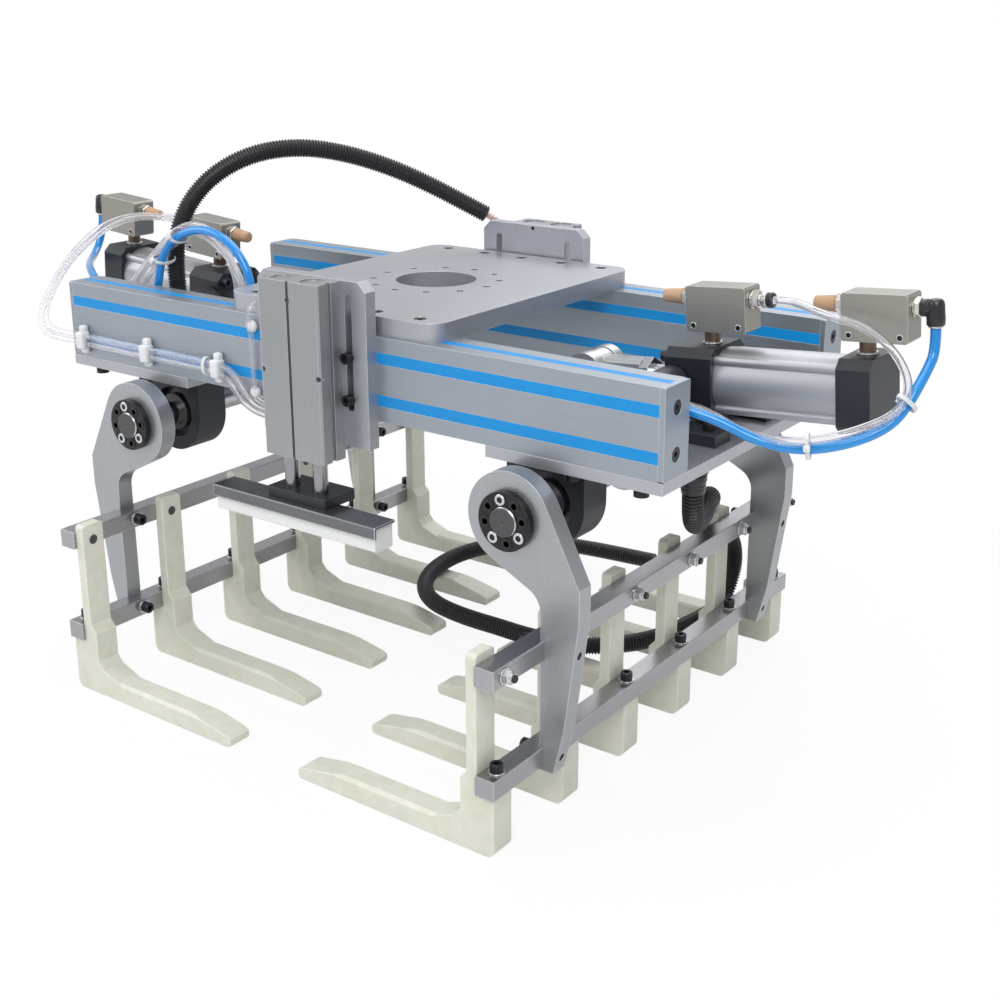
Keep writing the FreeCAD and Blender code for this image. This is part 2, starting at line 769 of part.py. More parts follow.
# Guided slide bodies on the brackets, with two bores for the guide rods and plugs on top.
body = new("PartDesign::Body", "press_body")
body_front = bracket_front - S["body_thick"]
half_body = S["body_half_width"]
rod_y = bracket_front - S["body_thick"] / 2
rod_spots = [(S["guide_rod_offset"] * side, rod_y) for side in (-1, 1)]
pad(body, "XZ", body_front, bracket_front, rectangle(-half_body, half_body, S["body_bottom"], S["body_top"]))
rim = [(side * float(half_body), float(body_front)) for side in (-1, 1)]
ease(body, "Chamfer", S["body_bevel"], runs_along("Z", rim))
half_groove = S["front_groove_width"] / 2
pocket(body, "XY", S["body_bottom"], S["body_top"],
       rectangle(-half_groove, half_groove, body_front, body_front + S["front_groove_depth"]))
half_groove = S["side_groove_width"] / 2
for side in (-1, 1):
    edge = half_body * side
    groove = sorted([edge, edge - S["side_groove_depth"] * side])
    pocket(body, "XY", S["body_bottom"], S["body_top"],
           rectangle(*groove, rod_y - half_groove, rod_y + half_groove))
rod_reach = S["guide_rod_top"]
hole_depth = body_front + S["face_hole_depth"]
bore(body, "XY", S["body_bottom"], rod_reach + S["guide_rod_room"],
     S["guide_rod_dia"] / 2 + S["guide_rod_gap"], rod_spots)
bore(body, "XZ", body_front, hole_depth, S["face_hole_dia"] / 2, [(0, S["body_top"] - S["face_hole_drop"])])
bore(body, "XZ", body_front, hole_depth, S["edge_hole_dia"] / 2,
     [(S["edge_hole_offset"] * side, S["edge_hole_height"]) for side in (-1, 1)])
bore(body, "XY", S["body_top"] - S["plug_depth"], S["body_top"], S["plug_dia"] / 2, rod_spots)
hand_over("press_bodies", group("press_bodies", copy(body), opposite("rear_body", body)))

# Sliding part of a press unit: rods, end plate, angle bar and soft pad.
end_plate_bottom = S["end_plate_top"] - S["end_plate_thick"]
rod_pair = [cylinder(f"guide_rod_{k}", S["guide_rod_dia"] / 2, (x, y, end_plate_bottom),
                     rod_reach - end_plate_bottom) for k, (x, y) in enumerate(rod_spots)]
rods = hand_over("front_guide_rods", group("front_guide_rods", *rod_pair))
hand_over("rear_guide_rods", opposite("rear_guide_rods", rods))
end_plate = new("PartDesign::Body", "front_end_plate")
half_end = S["end_plate_half_length"]
pad(end_plate, "XY", end_plate_bottom, S["end_plate_top"],
    rectangle(-half_end, half_end, -S["end_plate_outer"], -S["end_plate_inner"]))
end_corners = [(side * float(half_end), -float(y)) for side in (-1, 1)
               for y in (S["end_plate_outer"], S["end_plate_inner"])]
ease(end_plate, "Fillet", S["end_plate_corner"], runs_along("Z", end_corners))
bore(end_plate, "XY", end_plate_bottom, S["end_plate_top"], S["guide_rod_dia"] / 2, rod_spots)
hand_over("front_end_plate", end_plate)
hand_over("rear_end_plate", opposite("rear_end_plate", end_plate))
press_bar = new("PartDesign::Body", "front_press_bar")
bar_front = -S["press_bar_outer"]
bar_back = -S["press_bar_inner"]
wall = S["press_bar_wall"]
bar_top = end_plate_bottom
pad(press_bar, "YZ", -S["press_bar_half_length"], S["press_bar_half_length"], [
    (bar_front, bar_top), (bar_front, bar_top - S["press_bar_drop"]),
    (bar_front + wall, bar_top - S["press_bar_drop"]), (bar_front + wall, bar_top - wall),
    (bar_back, bar_top - wall), (bar_back, bar_top)])
ease(press_bar, "Fillet", S["press_bar_corner"], runs_along("X", [(float(bar_front), float(bar_top))]))
hand_over("front_press_bar", press_bar)
hand_over("rear_press_bar", opposite("rear_press_bar", press_bar))
press_pad = new("PartDesign::Body", "front_press_pad")
pad_front = bar_front + wall + S["pad_gap"]
pad(press_pad, "YZ", -S["pad_half_length"], S["pad_half_length"],
    rectangle(pad_front, pad_front + S["pad_width"], S["pad_bottom"], bar_top - wall))
pad_low = [(float(pad_front + S["pad_width"] * k), float(S["pad_bottom"])) for k in (0, 1)]
ease(press_pad, "Fillet", S["pad_corner"], runs_along("X", pad_low))
hand_over("front_press_pad", press_pad)
hand_over("rear_press_pad", opposite("rear_press_pad", press_pad))


# The point where a tangent from outside meets a circle, on the chosen side.
def tangent_point(centre, radius, outside, side):
    away = math.dist(centre, outside)
    toward = math.atan2(outside[1] - centre[1], outside[0] - centre[0])
    angle = toward + side * math.acos(radius / away)
    return centre[0] + radius * math.cos(angle), centre[1] + radius * math.sin(angle)


# Claw shaft with bevelled ends and centre holes.
shaft = new("PartDesign::Body", "right_shaft")
shaft_centre = (shaft_x, shaft_z)
pad_circle(shaft, "XZ", -shaft_end, shaft_end, shaft_radius, shaft_centre)
ease(shaft, "Chamfer", S["shaft_chamfer"], lies_at("Y", [float(shaft_end), -float(shaft_end)]))
hole_depth = shaft_end - S["centre_hole_depth"]
bore(shaft, "XZ", -shaft_end, -hole_depth, S["centre_hole_dia"] / 2, [shaft_centre])
bore(shaft, "XZ", hole_depth, shaft_end, S["centre_hole_dia"] / 2, [shaft_centre])
hand_over("right_shaft", shaft)
hand_over("left_shaft", opposite("left_shaft", shaft))

# Side arms: a hub round the shaft and a bent leg notched for the two cross bars.
arm = new("PartDesign::Body", "arm")
arm_low = -arm_outer_face
arm_high = -S["arm_inner_face"]
hub_middle = (float(shaft_x), float(shaft_z))
hub_radius = float(S["arm_hub_radius"])
back_touch = tangent_point(hub_middle, hub_radius, (S["arm_back"], S["arm_knee_top"]), 1)
throat = (S["arm_front"], S["arm_throat_height"])
front_touch = tangent_point(hub_middle, hub_radius, throat, -1)
pad_circle(arm, "XZ", arm_low, arm_high, S["arm_hub_radius"], shaft_centre)
pad(arm, "XZ", arm_low, arm_high, [
    back_touch, (S["arm_back"], S["arm_knee_top"]), (S["arm_back"], S["arm_knee_low"]),
    (S["arm_shin"], S["arm_shin_height"]), (S["arm_toe"], S["arm_bottom"]),
    (S["arm_front"], S["arm_bottom"]), throat, front_touch, hub_middle])
ease(arm, "Fillet", S["arm_throat_radius"], runs_along("Y", [(float(throat[0]), float(throat[1]))]))
bar_tops = (S["upper_bar_top"], S["lower_bar_top"])
for height in bar_tops:
    pocket(arm, "XZ", arm_low, arm_high,
           rectangle(S["bar_inner"], bar_outer, height - S["bar_height"], height))
bore(arm, "XZ", arm_low, arm_high, S["locking_sleeve_dia"] / 2, [shaft_centre])
arm_bolt_y = S["arm_inner_face"] + S["arm_thick"] / 2
bar_middles = [height - S["bar_height"] / 2 for height in bar_tops]
bore(arm, "YZ", S["arm_front"], S["arm_back"], clear_of(screw_dia), [(-arm_bolt_y, z) for z in bar_middles])
arm_span = S["arm_inner_face"] * 2 + S["arm_thick"]
arms = hand_over("right_arms", copies("right_arms", arm, [(0, 0, 0), (0, arm_span, 0)]))
hand_over("left_arms", opposite("left_arms", arms))

# Locking hubs: a sleeve between arm and shaft under a flange with a ring of screws.
hub = new("PartDesign::Body", "locking_hub")
flange_face = -arm_outer_face - S["locking_flange_thick"]
pad_circle(hub, "XZ", flange_face, -arm_outer_face, S["locking_flange_dia"] / 2, shaft_centre)
pad_circle(hub, "XZ", -arm_outer_face, arm_high, S["locking_sleeve_dia"] / 2, shaft_centre)
bore(hub, "XZ", flange_face, arm_high, shaft_radius, [shaft_centre])
hub_screws = 8
ring_turns = [2 * math.pi * k / hub_screws + math.radians(S["locking_turn"]) for k in range(hub_screws)]
ring_radius = S["locking_circle"] / 2
screw_ring = [(shaft_x + ring_radius * math.cos(turn), shaft_z + ring_radius * math.sin(turn))
              for turn in ring_turns]
bore(hub, "XZ", flange_face, flange_face + S["locking_socket_depth"], S["locking_socket_dia"] / 2, screw_ring)
hubs = hand_over("right_locking_hubs", group(
    "right_locking_hubs", copy(hub), copy(hub, shaft_x * 2, 0, 0, half_turn)))
hand_over("left_locking_hubs", opposite("left_locking_hubs", hubs))

# Cross bars, drilled for the arm screws and the finger screws.
cross_bars = []
for label, height in zip(("upper", "lower"), bar_tops):
    bar = new("PartDesign::Body", f"{label}_bar")
    half = S["bar_half_length"]
    low = height - S["bar_height"]
    pad(bar, "XY", low, height, rectangle(S["bar_inner"], bar_outer, -half, half))
    rim = [(float(x), float(z)) for x in (S["bar_inner"], bar_outer) for z in (height, low)]
    ease(bar, "Chamfer", S["bar_bevel"], runs_along("Y", rim))
    middle = height - S["bar_height"] / 2
    bore(bar, "YZ", S["bar_inner"], bar_outer, clear_of(screw_dia),
         [(arm_bolt_y * side, middle) for side in (-1, 1)])
    if label == "upper":
        bore(bar, "YZ", S["bar_inner"], bar_outer, clear_of(screw_dia), [(y, middle) for y in finger_rows])
    else:
        bore(bar, "XY", low, height, clear_of(screw_dia), [(S["lower_bolt_offset"], y) for y in finger_rows])
    cross_bars.append(bar)
bars = hand_over("right_cross_bars", group("right_cross_bars", *cross_bars))
hand_over("left_cross_bars", opposite("left_cross_bars", bars))

# Fingers: an upright blade, a heel under the lower bar and a long tapering tine.
finger = new("PartDesign::Body", "finger")
half_finger = S["finger_width"] / 2
blade_inner = S["bar_inner"] - S["blade_thick"]
heel_inner = blade_inner - S["heel_step"]
lower_bar_bottom = S["lower_bar_top"] - S["bar_height"]
bevel = S["tine_bevel"]
pad(finger, "XZ", -half_finger, half_finger, [
    (blade_inner, S["blade_top"]), (blade_inner, S["lower_bar_top"]),
    (heel_inner, S["lower_bar_top"] - S["blade_step"]),
    (heel_inner, S["tine_top"] + S["root_height"]),
    (heel_inner - S["root_knee"], S["tine_top"] + S["root_height"] / 2),
    (heel_inner - S["root_length"], S["tine_top"]), (S["tine_taper_start"], S["tine_top"]),
    (S["tine_tip"] + bevel * 2, S["tine_tip_top"]), (S["tine_tip"], S["tine_tip_top"] - bevel),
    (S["tine_tip"], S["floor_height"] + bevel), (S["tine_tip"] + bevel, S["floor_height"]),
    (S["heel_outer"], S["floor_height"]),
    (S["heel_outer"], lower_bar_bottom), (S["bar_inner"], lower_bar_bottom),
    (S["bar_inner"], S["blade_top"])])
heel_edge = (float(S["heel_outer"]), float(S["floor_height"]))
ease(finger, "Fillet", S["heel_corner"], runs_along("Y", [heel_edge]))
blade_corners = [(side * float(half_finger), float(S["blade_top"])) for side in (-1, 1)]
ease(finger, "Fillet", S["blade_corner"], runs_along("X", blade_corners))
tine_edges = [(side * float(half_finger), float(S["tine_top"])) for side in (-1, 1)]
ease(finger, "Chamfer", bevel, runs_along("X", tine_edges))
upper_middle = bar_middles[0]
bore(finger, "YZ", blade_inner, S["bar_inner"], clear_of(screw_dia), [(0, upper_middle)])
heel_grip = S["heel_screw_grip"]
bore(finger, "XY", lower_bar_bottom - heel_grip, lower_bar_bottom, clear_of(screw_dia),
     [(S["lower_bolt_offset"], 0)])
finger_set = hand_over("right_fingers", copies("right_fingers", finger, [(0, y, 0) for y in finger_rows]))
hand_over("left_fingers", opposite("left_fingers", finger_set))

# Claw screws: blade screws with lock nuts, heel screws from above and arm screws.
outward = Rotation(Vector(0, 1, 0), -90)
nut_thick = S["lock_nut_thick"]
blade_screw = cap_screw("blade_screw", screw_dia, bar_outer - blade_inner + nut_thick)
lock_nut = cut("lock_nut", prism("lock_nut_blank", 6, S["lock_nut_radius"], (0, 0, 0), nut_thick),
               cylinder("lock_nut_bore", screw_dia / 2, (0, 0, 0), nut_thick))
heel_screw = cap_screw("heel_screw", screw_dia, S["bar_height"] + heel_grip)
arm_screw = cap_screw("arm_screw", screw_dia, S["bar_depth"] + S["arm_screw_grip"])
claw_screws = group(
    "right_claw_bolts",
    copies("blade_screws", blade_screw, [(blade_inner, y, upper_middle, outward) for y in finger_rows]),
    copies("lock_nuts", lock_nut, [(bar_outer, y, upper_middle, AXES["X"]) for y in finger_rows]),
    copies("heel_screws", heel_screw, [(S["lower_bolt_offset"], y, S["lower_bar_top"]) for y in finger_rows]),
    copies("arm_screws", arm_screw, [(S["bar_inner"], arm_bolt_y * side, z, outward)
                                     for side in (-1, 1) for z in bar_middles]))
hand_over("right_claw_bolts", claw_screws)
hand_over("left_claw_bolts", opposite("left_claw_bolts", claw_screws))

# Lever on the shaft: two cheeks, open between them for the knuckle, and the pin through both.
lever = new("PartDesign::Body", "right_lever")
half_lever = S["lever_width"] / 2
pin_centre = (S["pin_offset"], S["pin_height"])
lever_run = math.dist(pin_centre, shaft_centre)
along_lever = ((shaft_x - S["pin_offset"]) / lever_run, (shaft_z - S["pin_height"]) / lever_run)
beside_lever = (-along_lever[1], along_lever[0])


def on_lever(along, beside):
    return (S["pin_offset"] + along_lever[0] * along + beside_lever[0] * beside,
            S["pin_height"] + along_lever[1] * along + beside_lever[1] * beside)


pad_circle(lever, "XZ", -half_lever, half_lever, S["lever_hub_radius"], shaft_centre)
pad_circle(lever, "XZ", -half_lever, half_lever, S["lever_pin_radius"], pin_centre)
pad(lever, "XZ", -half_lever, half_lever, [
    on_lever(0, S["lever_pin_radius"]), on_lever(0, -S["lever_pin_radius"]),
    on_lever(lever_run, -S["lever_hub_radius"]), on_lever(lever_run, S["lever_hub_radius"])])
half_gap = S["lever_slot"] / 2
slot_side = S["lever_hub_radius"] + S["pin_dia"]
pocket(lever, "XZ", -half_gap, half_gap, [
    on_lever(-slot_side, slot_side), on_lever(-slot_side, -slot_side),
    on_lever(S["lever_slot_depth"], -slot_side), on_lever(S["lever_slot_depth"], slot_side)])
bore(lever, "XZ", -half_lever, half_lever, shaft_radius, [shaft_centre])
bore(lever, "XZ", -half_lever, half_lever, S["pin_dia"] / 2, [pin_centre])
hand_over("right_lever", lever)
hand_over("left_lever", opposite("left_lever", lever))
pin = new("PartDesign::Body", "right_clevis_pin")
pin_half = half_lever + S["pin_overhang"]
pad_circle(pin, "XZ", -pin_half, pin_half, S["pin_dia"] / 2, pin_centre)
ring_seat = half_lever + S["ring_gap"]
ring_radius = S["pin_dia"] / 2 + S["ring_height"]
pad_circle(pin, "XZ", -ring_seat - S["ring_thick"], -ring_seat, ring_radius, pin_centre)
pad_circle(pin, "XZ", ring_seat, ring_seat + S["ring_thick"], ring_radius, pin_centre)
hand_over("right_clevis_pin", pin)
hand_over("left_clevis_pin", opposite("left_clevis_pin", pin))

# Air cylinder, drawn level along X from the clevis pin and then tilted into place.
tilt = Rotation(Vector(0, 1, 0), -float(S["cylinder_slope"]))
front_cap_start = S["trunnion_start"] + S["trunnion_thick"]
barrel_start = front_cap_start + S["front_cap_length"]
rear_cap_start = barrel_start + S["barrel_length"]
cylinder_end = rear_cap_start + S["rear_cap_length"]
half_cap = S["cap_square"] / 2
rod_bore = S["rod_dia"] / 2 + S["rod_gap"]


def tilted(name, *pieces):
    return group(name, *[copy(piece, S["pin_offset"], 0, S["pin_height"], tilt) for piece in pieces])


def both_sides(name, *pieces):
    right = hand_over(f"right_{name}", tilted(f"right_{name}", *pieces))
    hand_over(f"left_{name}", opposite(f"left_{name}", right))


# Barrel tube with the ridges that cover its tie rods.
barrel = new("PartDesign::Body", "barrel")
pad_circle(barrel, "YZ", barrel_start, rear_cap_start, S["barrel_dia"] / 2, (0, 0))
corner_place = S["corner_screw_spacing"] / 2
ridge_place = corner_place - S["ridge_inset"]
corners = [(y, z) for y in (-1, 1) for z in (-1, 1)]
for y, z in corners:
    pad_circle(barrel, "YZ", barrel_start, rear_cap_start, S["ridge_dia"] / 2,
               (ridge_place * y, ridge_place * z))
bore(barrel, "YZ", barrel_start, rear_cap_start, S["cylinder_bore"] / 2, [(0, 0)])
both_sides("barrel", barrel)


def cap_block(name, start, end):
    block = new("PartDesign::Body", name)
    pad(block, "YZ", start, end, rectangle(-half_cap, half_cap, -half_cap, half_cap))
    edges = [(y * float(half_cap), z * float(half_cap)) for y, z in corners]
    ease(block, "Chamfer", S["cap_chamfer"], runs_along("X", edges))
    return block


trunnion = cap_block("trunnion_block", S["trunnion_start"], front_cap_start)
trunnion_reach = pedestal_outer - S["trunnion_short"]
pad_circle(trunnion, "XZ", -trunnion_reach, trunnion_reach, S["trunnion_dia"] / 2, (trunnion_along, 0))
bore(trunnion, "YZ", S["trunnion_start"], front_cap_start, rod_bore, [(0, 0)])
front_cap = cap_block("front_cap", front_cap_start, barrel_start)
bore(front_cap, "YZ", front_cap_start, barrel_start, rod_bore, [(0, 0)])
rear_cap = cap_block("rear_cap", rear_cap_start, cylinder_end)
corner_screw = cap_screw("corner_screw", screw_dia, S["corner_screw_grip"])
corner_spots = [(corner_place * y, corner_place * z) for y, z in corners]
corner_screws = copies("corner_screws", corner_screw,
                       [(S["trunnion_start"], y, z, outward) for y, z in corner_spots])
bore(trunnion, "YZ", S["trunnion_start"], front_cap_start, clear_of(screw_dia), corner_spots)
both_sides("cylinder_caps", trunnion, front_cap, rear_cap, corner_screws)

# Exhaust valves on the caps, each with a nipple below, a silencer and a tube fitting.
valve_low = half_cap + S["nipple_height"]
valve_high = valve_low + S["valve_height"]
half_valve = S["valve_width"] / 2
valves = []
fittings = []
cap_middles = [front_cap_start + S["front_cap_length"] / 2, rear_cap_start + S["rear_cap_length"] / 2]
for label, middle in zip(("front", "rear"), cap_middles):
    start = middle - S["valve_setback"]
    end = start + S["valve_length"]
    valve = new("PartDesign::Body", f"{label}_valve")
    pad(valve, "XZ", -half_valve, half_valve, rectangle(start, end, valve_low, valve_high))
    rim = [(float(x), float(z)) for x in (start, end) for z in (valve_low, valve_high)]
    ease(valve, "Chamfer", S["valve_bevel"], runs_along("Y", rim))
    inset = S["valve_hole_inset"]
    bore(valve, "XZ", -half_valve, half_valve, S["valve_hole_dia"] / 2,
         [(x, valve_low + S["valve_hole_rise"]) for x in (start + inset, end - inset)])
    pad_circle(valve, "XY", half_cap, valve_low, S["nipple_dia"] / 2, (middle, 0))
    valves.append(valve)
    height = S["port_height"]
    hexagon_dia = S["hexagon_dia"]
    hexagon_long = S["hexagon_length"]
    hexagon = prism(f"{label}_silencer_hex", 6, hexagon_dia / 2, (start - hexagon_long, 0, height),
                    hexagon_long, "X")
    tip = cylinder(f"{label}_silencer_tip", S["silencer_dia"] / 2,
                   (start - hexagon_long - S["silencer_length"], 0, height), S["silencer_length"], "X")
    fittings.append(fuse(f"{label}_silencer", hexagon, tip))
    if label == "front":
        collar = prism("front_fitting_hex", 6, hexagon_dia / 2, (end, 0, height), hexagon_long, "X")
        stem = cylinder("front_fitting_stem", S["fitting_dia"] / 2, (end + hexagon_long, 0, height),
                        S["fitting_length"] - hexagon_long, "X")
        fittings.append(fuse("front_fitting", collar, stem))
    else:
        radius = S["elbow_dia"] / 2
        bend = end + S["elbow_reach"]
        stem = cylinder("elbow_stem", radius - S["elbow_step"], (end, 0, height), S["elbow_reach"], "X")
        spout = cylinder("elbow_spout", radius, (bend, 0, height - S["elbow_drop"]), S["elbow_drop"] + radius)
        fittings.append(fuse("rear_elbow", stem, spout))
both_sides("valves", *valves)
both_sides("valve_fittings", *fittings)

# Piston rod with its piston and lock nut, and the knuckle that holds the clevis pin.
piston_end = rear_cap_start - S["piston_back_gap"]
rod_piece = fuse(
    "rod_and_piston",
    cylinder("rod_bar", S["rod_dia"] / 2, (S["neck_end"], 0, 0), piston_end - S["neck_end"], "X"),
    cylinder("piston", S["cylinder_bore"] / 2 - S["piston_gap"], (piston_end - S["piston_thick"], 0, 0),
             S["piston_thick"], "X"))
nut_radius = S["nut_flats"] / 2 / math.cos(math.radians(30))
rod_nut = cut("rod_nut", prism("rod_nut_blank", 6, nut_radius, (S["neck_end"], 0, 0), S["nut_thick"], "X"),
              cylinder("rod_nut_bore", S["rod_dia"] / 2, (S["neck_end"], 0, 0), S["nut_thick"], "X"))
both_sides("piston_rod", rod_piece, rod_nut)
knuckle = new("PartDesign::Body", "rod_knuckle")
half_knuckle = S["knuckle_width"] / 2
half_neck = S["neck_height"] / 2
pad_circle(knuckle, "XZ", -half_knuckle, half_knuckle, S["knuckle_radius"], (0, 0))
pad(knuckle, "XZ", -half_knuckle, half_knuckle, rectangle(0, S["neck_end"], -half_neck, half_neck))
neck_rim = [(y * float(half_knuckle), z * float(half_neck)) for y in (-1, 1) for z in (-1, 1)]
ease(knuckle, "Chamfer", S["neck_bevel"], runs_along("X", neck_rim))
bore(knuckle, "XZ", -half_knuckle, half_knuckle, S["pin_dia"] / 2 + S["pivot_gap"], [(0, 0)])
both_sides("rod_knuckle", knuckle)


# Where a point beside the level cylinder lies once it is tilted into place.
def on_cylinder(along, height):
    return (S["pin_offset"] + along * cos_slope - height * sin_slope, 0,
            S["pin_height"] + along * sin_slope + height * cos_slope)


# A hose or tube: straight runs joined by arcs, each as large as its two runs allow.
def cord(node, points, dia):
    spots = [Vector(*point) for point in points]
    edges = []
    radii = []
    start = spots[0]
    for before, corner, after in zip(spots, spots[1:], spots[2:]):
        coming = (corner - before).normalize()
        going = (after - corner).normalize()
        half = coming.getAngle(going) / 2
        reach = 0.45 * min(corner.distanceToPoint(before), after.distanceToPoint(corner))
        radius = reach / math.tan(half)
        inward = (going - coming).normalize()
        middle = corner + inward * (radius / math.cos(half) - radius)
        end = corner + going * reach
        edges.append(Part.LineSegment(start, corner - coming * reach).toShape())
        edges.append(Part.Arc(corner - coming * reach, middle, end).toShape())
        radii.append(round(radius))
        start = end
    edges.append(Part.LineSegment(start, spots[-1]).toShape())
    path = Part.Wire(edges)
    section = Part.Wire(Part.Circle(spots[0], spots[1] - spots[0], dia / 2).toShape())
    tube = path.makePipeShell([section], True, False)
    length = sum(edge.Length for edge in edges)
    expected = math.pi * dia * dia / 4 * length
    print(f"{node}: {length:.0f} mm, radii {radii}, volume {tube.Volume / expected:.4f} of section by length")
    piece = new("Part::Feature", node)
    piece.Shape = tube
    piece.Placement = Placement()
    return hand_over(node, piece)


# Glands where the wide hoses leave the base plates, and saddles for the tube along the front beam.
left_gland = (-315, -110)
right_gland = (394, -94)
gland_tall = S["gland_height"]
glands = [
    cylinder("left_gland", S["gland_dia"] / 2, (*left_gland, base_top), gland_tall),
    cylinder("right_gland", S["gland_dia"] / 2, (*right_gland, base_bottom - gland_tall), gland_tall)]
hand_over("hose_glands", group("hose_glands", *glands))
tube_y = front_face - S["tube_dia"] / 2 - S["tube_stand_off"]
tube_z = slot_heights[1]
half_clip = S["clip_length"] / 2
half_height = S["clip_height"] / 2
clips = []
for k, x in enumerate((-390, -275, -156)):
    block = box(f"clip_block_{k}", (x - half_clip, x + half_clip), (front_face - S["clip_depth"], front_face),
                (tube_z - half_height, tube_z + half_height))
    hole = cylinder(f"clip_hole_{k}", S["tube_dia"] / 2 + S["running_gap"], (x - half_clip, tube_y, tube_z),
                    S["clip_length"], "X")
    clips.append(cut(f"clip_{k}", block, hole))
hand_over("tube_clips", group("tube_clips", *clips))

# Fittings for the tubes' hidden ends: a block with two collars on the front beam's inner face, a
# union standing on the left base plate and an elbow behind the front bracket.
half_collar = S["collar_dia"] / 2
collar_reach = S["collar_reach"]
margin = S["junction_margin"]
block_y = (back_face, back_face + S["junction_depth"])
left_ports = [(-193, -126.5), (-157, -137)]
left_port_z = Size(-66)
block_top = left_port_z - collar_reach
left_block = box("left_junction", (left_ports[0][0] - margin, left_ports[1][0] + margin), block_y,
                 (block_top - S["junction_height"], block_top))
left_collars = [cylinder(f"left_collar_{k}", half_collar, (x, y, block_top), collar_reach)
                for k, (x, y) in enumerate(left_ports)]
union_place = (-395, -126.5)
union_stem = cylinder("union_stem", half_collar, (*union_place, base_top), S["union_height"])
union_hexagon = prism("union_hexagon", 6, S["hexagon_dia"] / 2, (*union_place, base_top),
                      S["union_hexagon_height"])
elbow_start = (-58, -178, -130)
elbow_arm = cylinder("bracket_elbow_arm", half_collar, elbow_start, S["collar_dia"], "X")
elbow_stem = cylinder("bracket_elbow_stem", half_collar - 1,
                      (elbow_start[0] + half_collar, front_face, elbow_start[2]),
                      elbow_start[1] - front_face, "Y")
hand_over("tube_junctions", group(
    "tube_junctions", fuse("left_junctions", left_block, *left_collars),
    fuse("union", union_stem, union_hexagon), fuse("bracket_elbow", elbow_arm, elbow_stem)))

# Hoses and tubes. Each starts on the face of its gland or fitting and keeps clear of what moves.
fitting_end = cap_middles[0] - S["valve_setback"] + S["valve_length"] + S["fitting_length"]
spout_along = cap_middles[1] - S["valve_setback"] + S["valve_length"] + S["elbow_reach"]
spout_height = S["port_height"] - S["elbow_drop"]
front_port = on_cylinder(fitting_end, S["port_height"])
rear_port = on_cylinder(spout_along, spout_height)
below_rear_port = on_cylinder(spout_along, spout_height - 24)
near_front_port = on_cylinder(fitting_end + S["tube_end_gap"], S["port_height"])
near_rear_port = on_cylinder(spout_along, spout_height - S["tube_end_gap"])


def turned(point):
    return -point[0], -point[1], point[2]


wide_hose = S["hose_dia"]
clear_dia = S["tube_dia"]
blue_dia = S["blue_tube_dia"]
cord("left_hose", [
    (*left_gland, base_top + gland_tall), (-315, -110, -42), (-318, -109, 12), (-313, -96, 62),
    (-294, -66, 103), (-267, -20, 128), (-236, 32, 133), (-204, 82, 122), (-170, 128, 102),
    (-138, 164, 79), (-106, 192, 56)], wide_hose)
cord("right_hose", [
    (*right_gland, base_bottom - gland_tall), (*right_gland, -158), (391, -87, -177), (386, -74, -191),
    (379, -56, -198), (371, -31, -200), (360, -3, -202), (346, 26, -207), (331, 62, -217),
    (314, 98, -229), (296, 130, -240),
    (280, 156, -250), (266, 182, -266), (256, 208, -284), (251, 238, -309), (248, 270, -338),
    (246, 296, -365), (245, 302, -397), (243, 289, -428), (240, 262, -446.5), (237, 228, -446.5),
    (232, 192, -446.5), (225, 156, -446.5), (209, 122, -446.5), (184, 92, -446.5), (152, 70, -446.5),
    (116, 60, -446.5), (80, 57, -446.5), (44, 58, -446.5), (6, 57, -446.5), (-32, 60, -446.5),
    (-66, 68, -446.5), (-96, 86, -446.5), (-120, 113, -446.5), (-136, 146, -446.5), (-144, 182, -446.5),
    (-144, 220, -446.5), (-134, 257, -446.5), (-115, 290, -446.5), (-88, 317, -446.5), (-55, 337, -447),
    (-18, 349, -448), (20, 357, -449), (55, 363, -450), (89, 369, -451)], wide_hose)
cord("right_clear_tube", [
    front_port, (441, 0, 29.2), (462, -14, 30), (482, -28, 29), (505, -36, 27), (530, -40, 25),
    (553, -46, 17), (572, -52, 2), (582, -56, -18), (582, -62, -38), (572, -73, -56), (554, -87, -70),
    (530, -97, -79), (502, -101, -86), (474, -102, -87), (447, -102, -77), (421, -104, -66),
    (402, -109, -59), (384, -118, -56), (368, -122, -56), (350, -122, -56)], clear_dia)
cord("right_blue_tube", [
    rear_port, below_rear_port, (586, -11, -20), (576, -30, -37), (559, -54, -49), (535, -76, -57),
    (508, -92, -63), (479, -104, -64), (450, -115, -60), (422, -125, -54), (400, -132, -50),
    (382, -138, -46), (350, -138, -46)], blue_dia)
cord("left_clear_tube", [
    turned(near_front_port), (-447, 0, 29.6), (-465, -17, 32), (-474, -41, 33), (-479, -66, 29),
    (-484, -87, 20), (-488, -105, 9), (-487, -125, -3), (-483, -146, -18), (-477, -166, -34),
    (-472, -184, -53), (-465, -196, -72), (-453, -201, -84), (-435, -200.5, -88.5), (-412, tube_y, tube_z),
    (-140, tube_y, tube_z), (-123.6, -199.6, -95.2), (-113.1, -199.4, -109.6), (-104.5, -194.8, -121.9),
    (-92, -186.1, -129.8), (-75, -178, -130), elbow_start], clear_dia)
cord("left_blue_tube", [
    turned(near_rear_port), turned(below_rear_port), (-585, -12, -19), (-571, -33, -29), (-546, -58, -30),
    (-516, -83, -27), (-484, -107, -26), (-452, -126, -31), (-420, -136, -42), (-388, -138, -55),
    (-356, -138, -60), (-330, -137, -46), (-318, -137, -20), (-312, -137, 6), (-296, -137, 29),
    (-270, -137, 45), (-240, -137, 53), (-210, -137, 50), (-184, -137, 37), (-166, -137, 16),
    (-158, -137, -11), (-157, -137, -38), (*left_ports[1], left_port_z)], blue_dia)
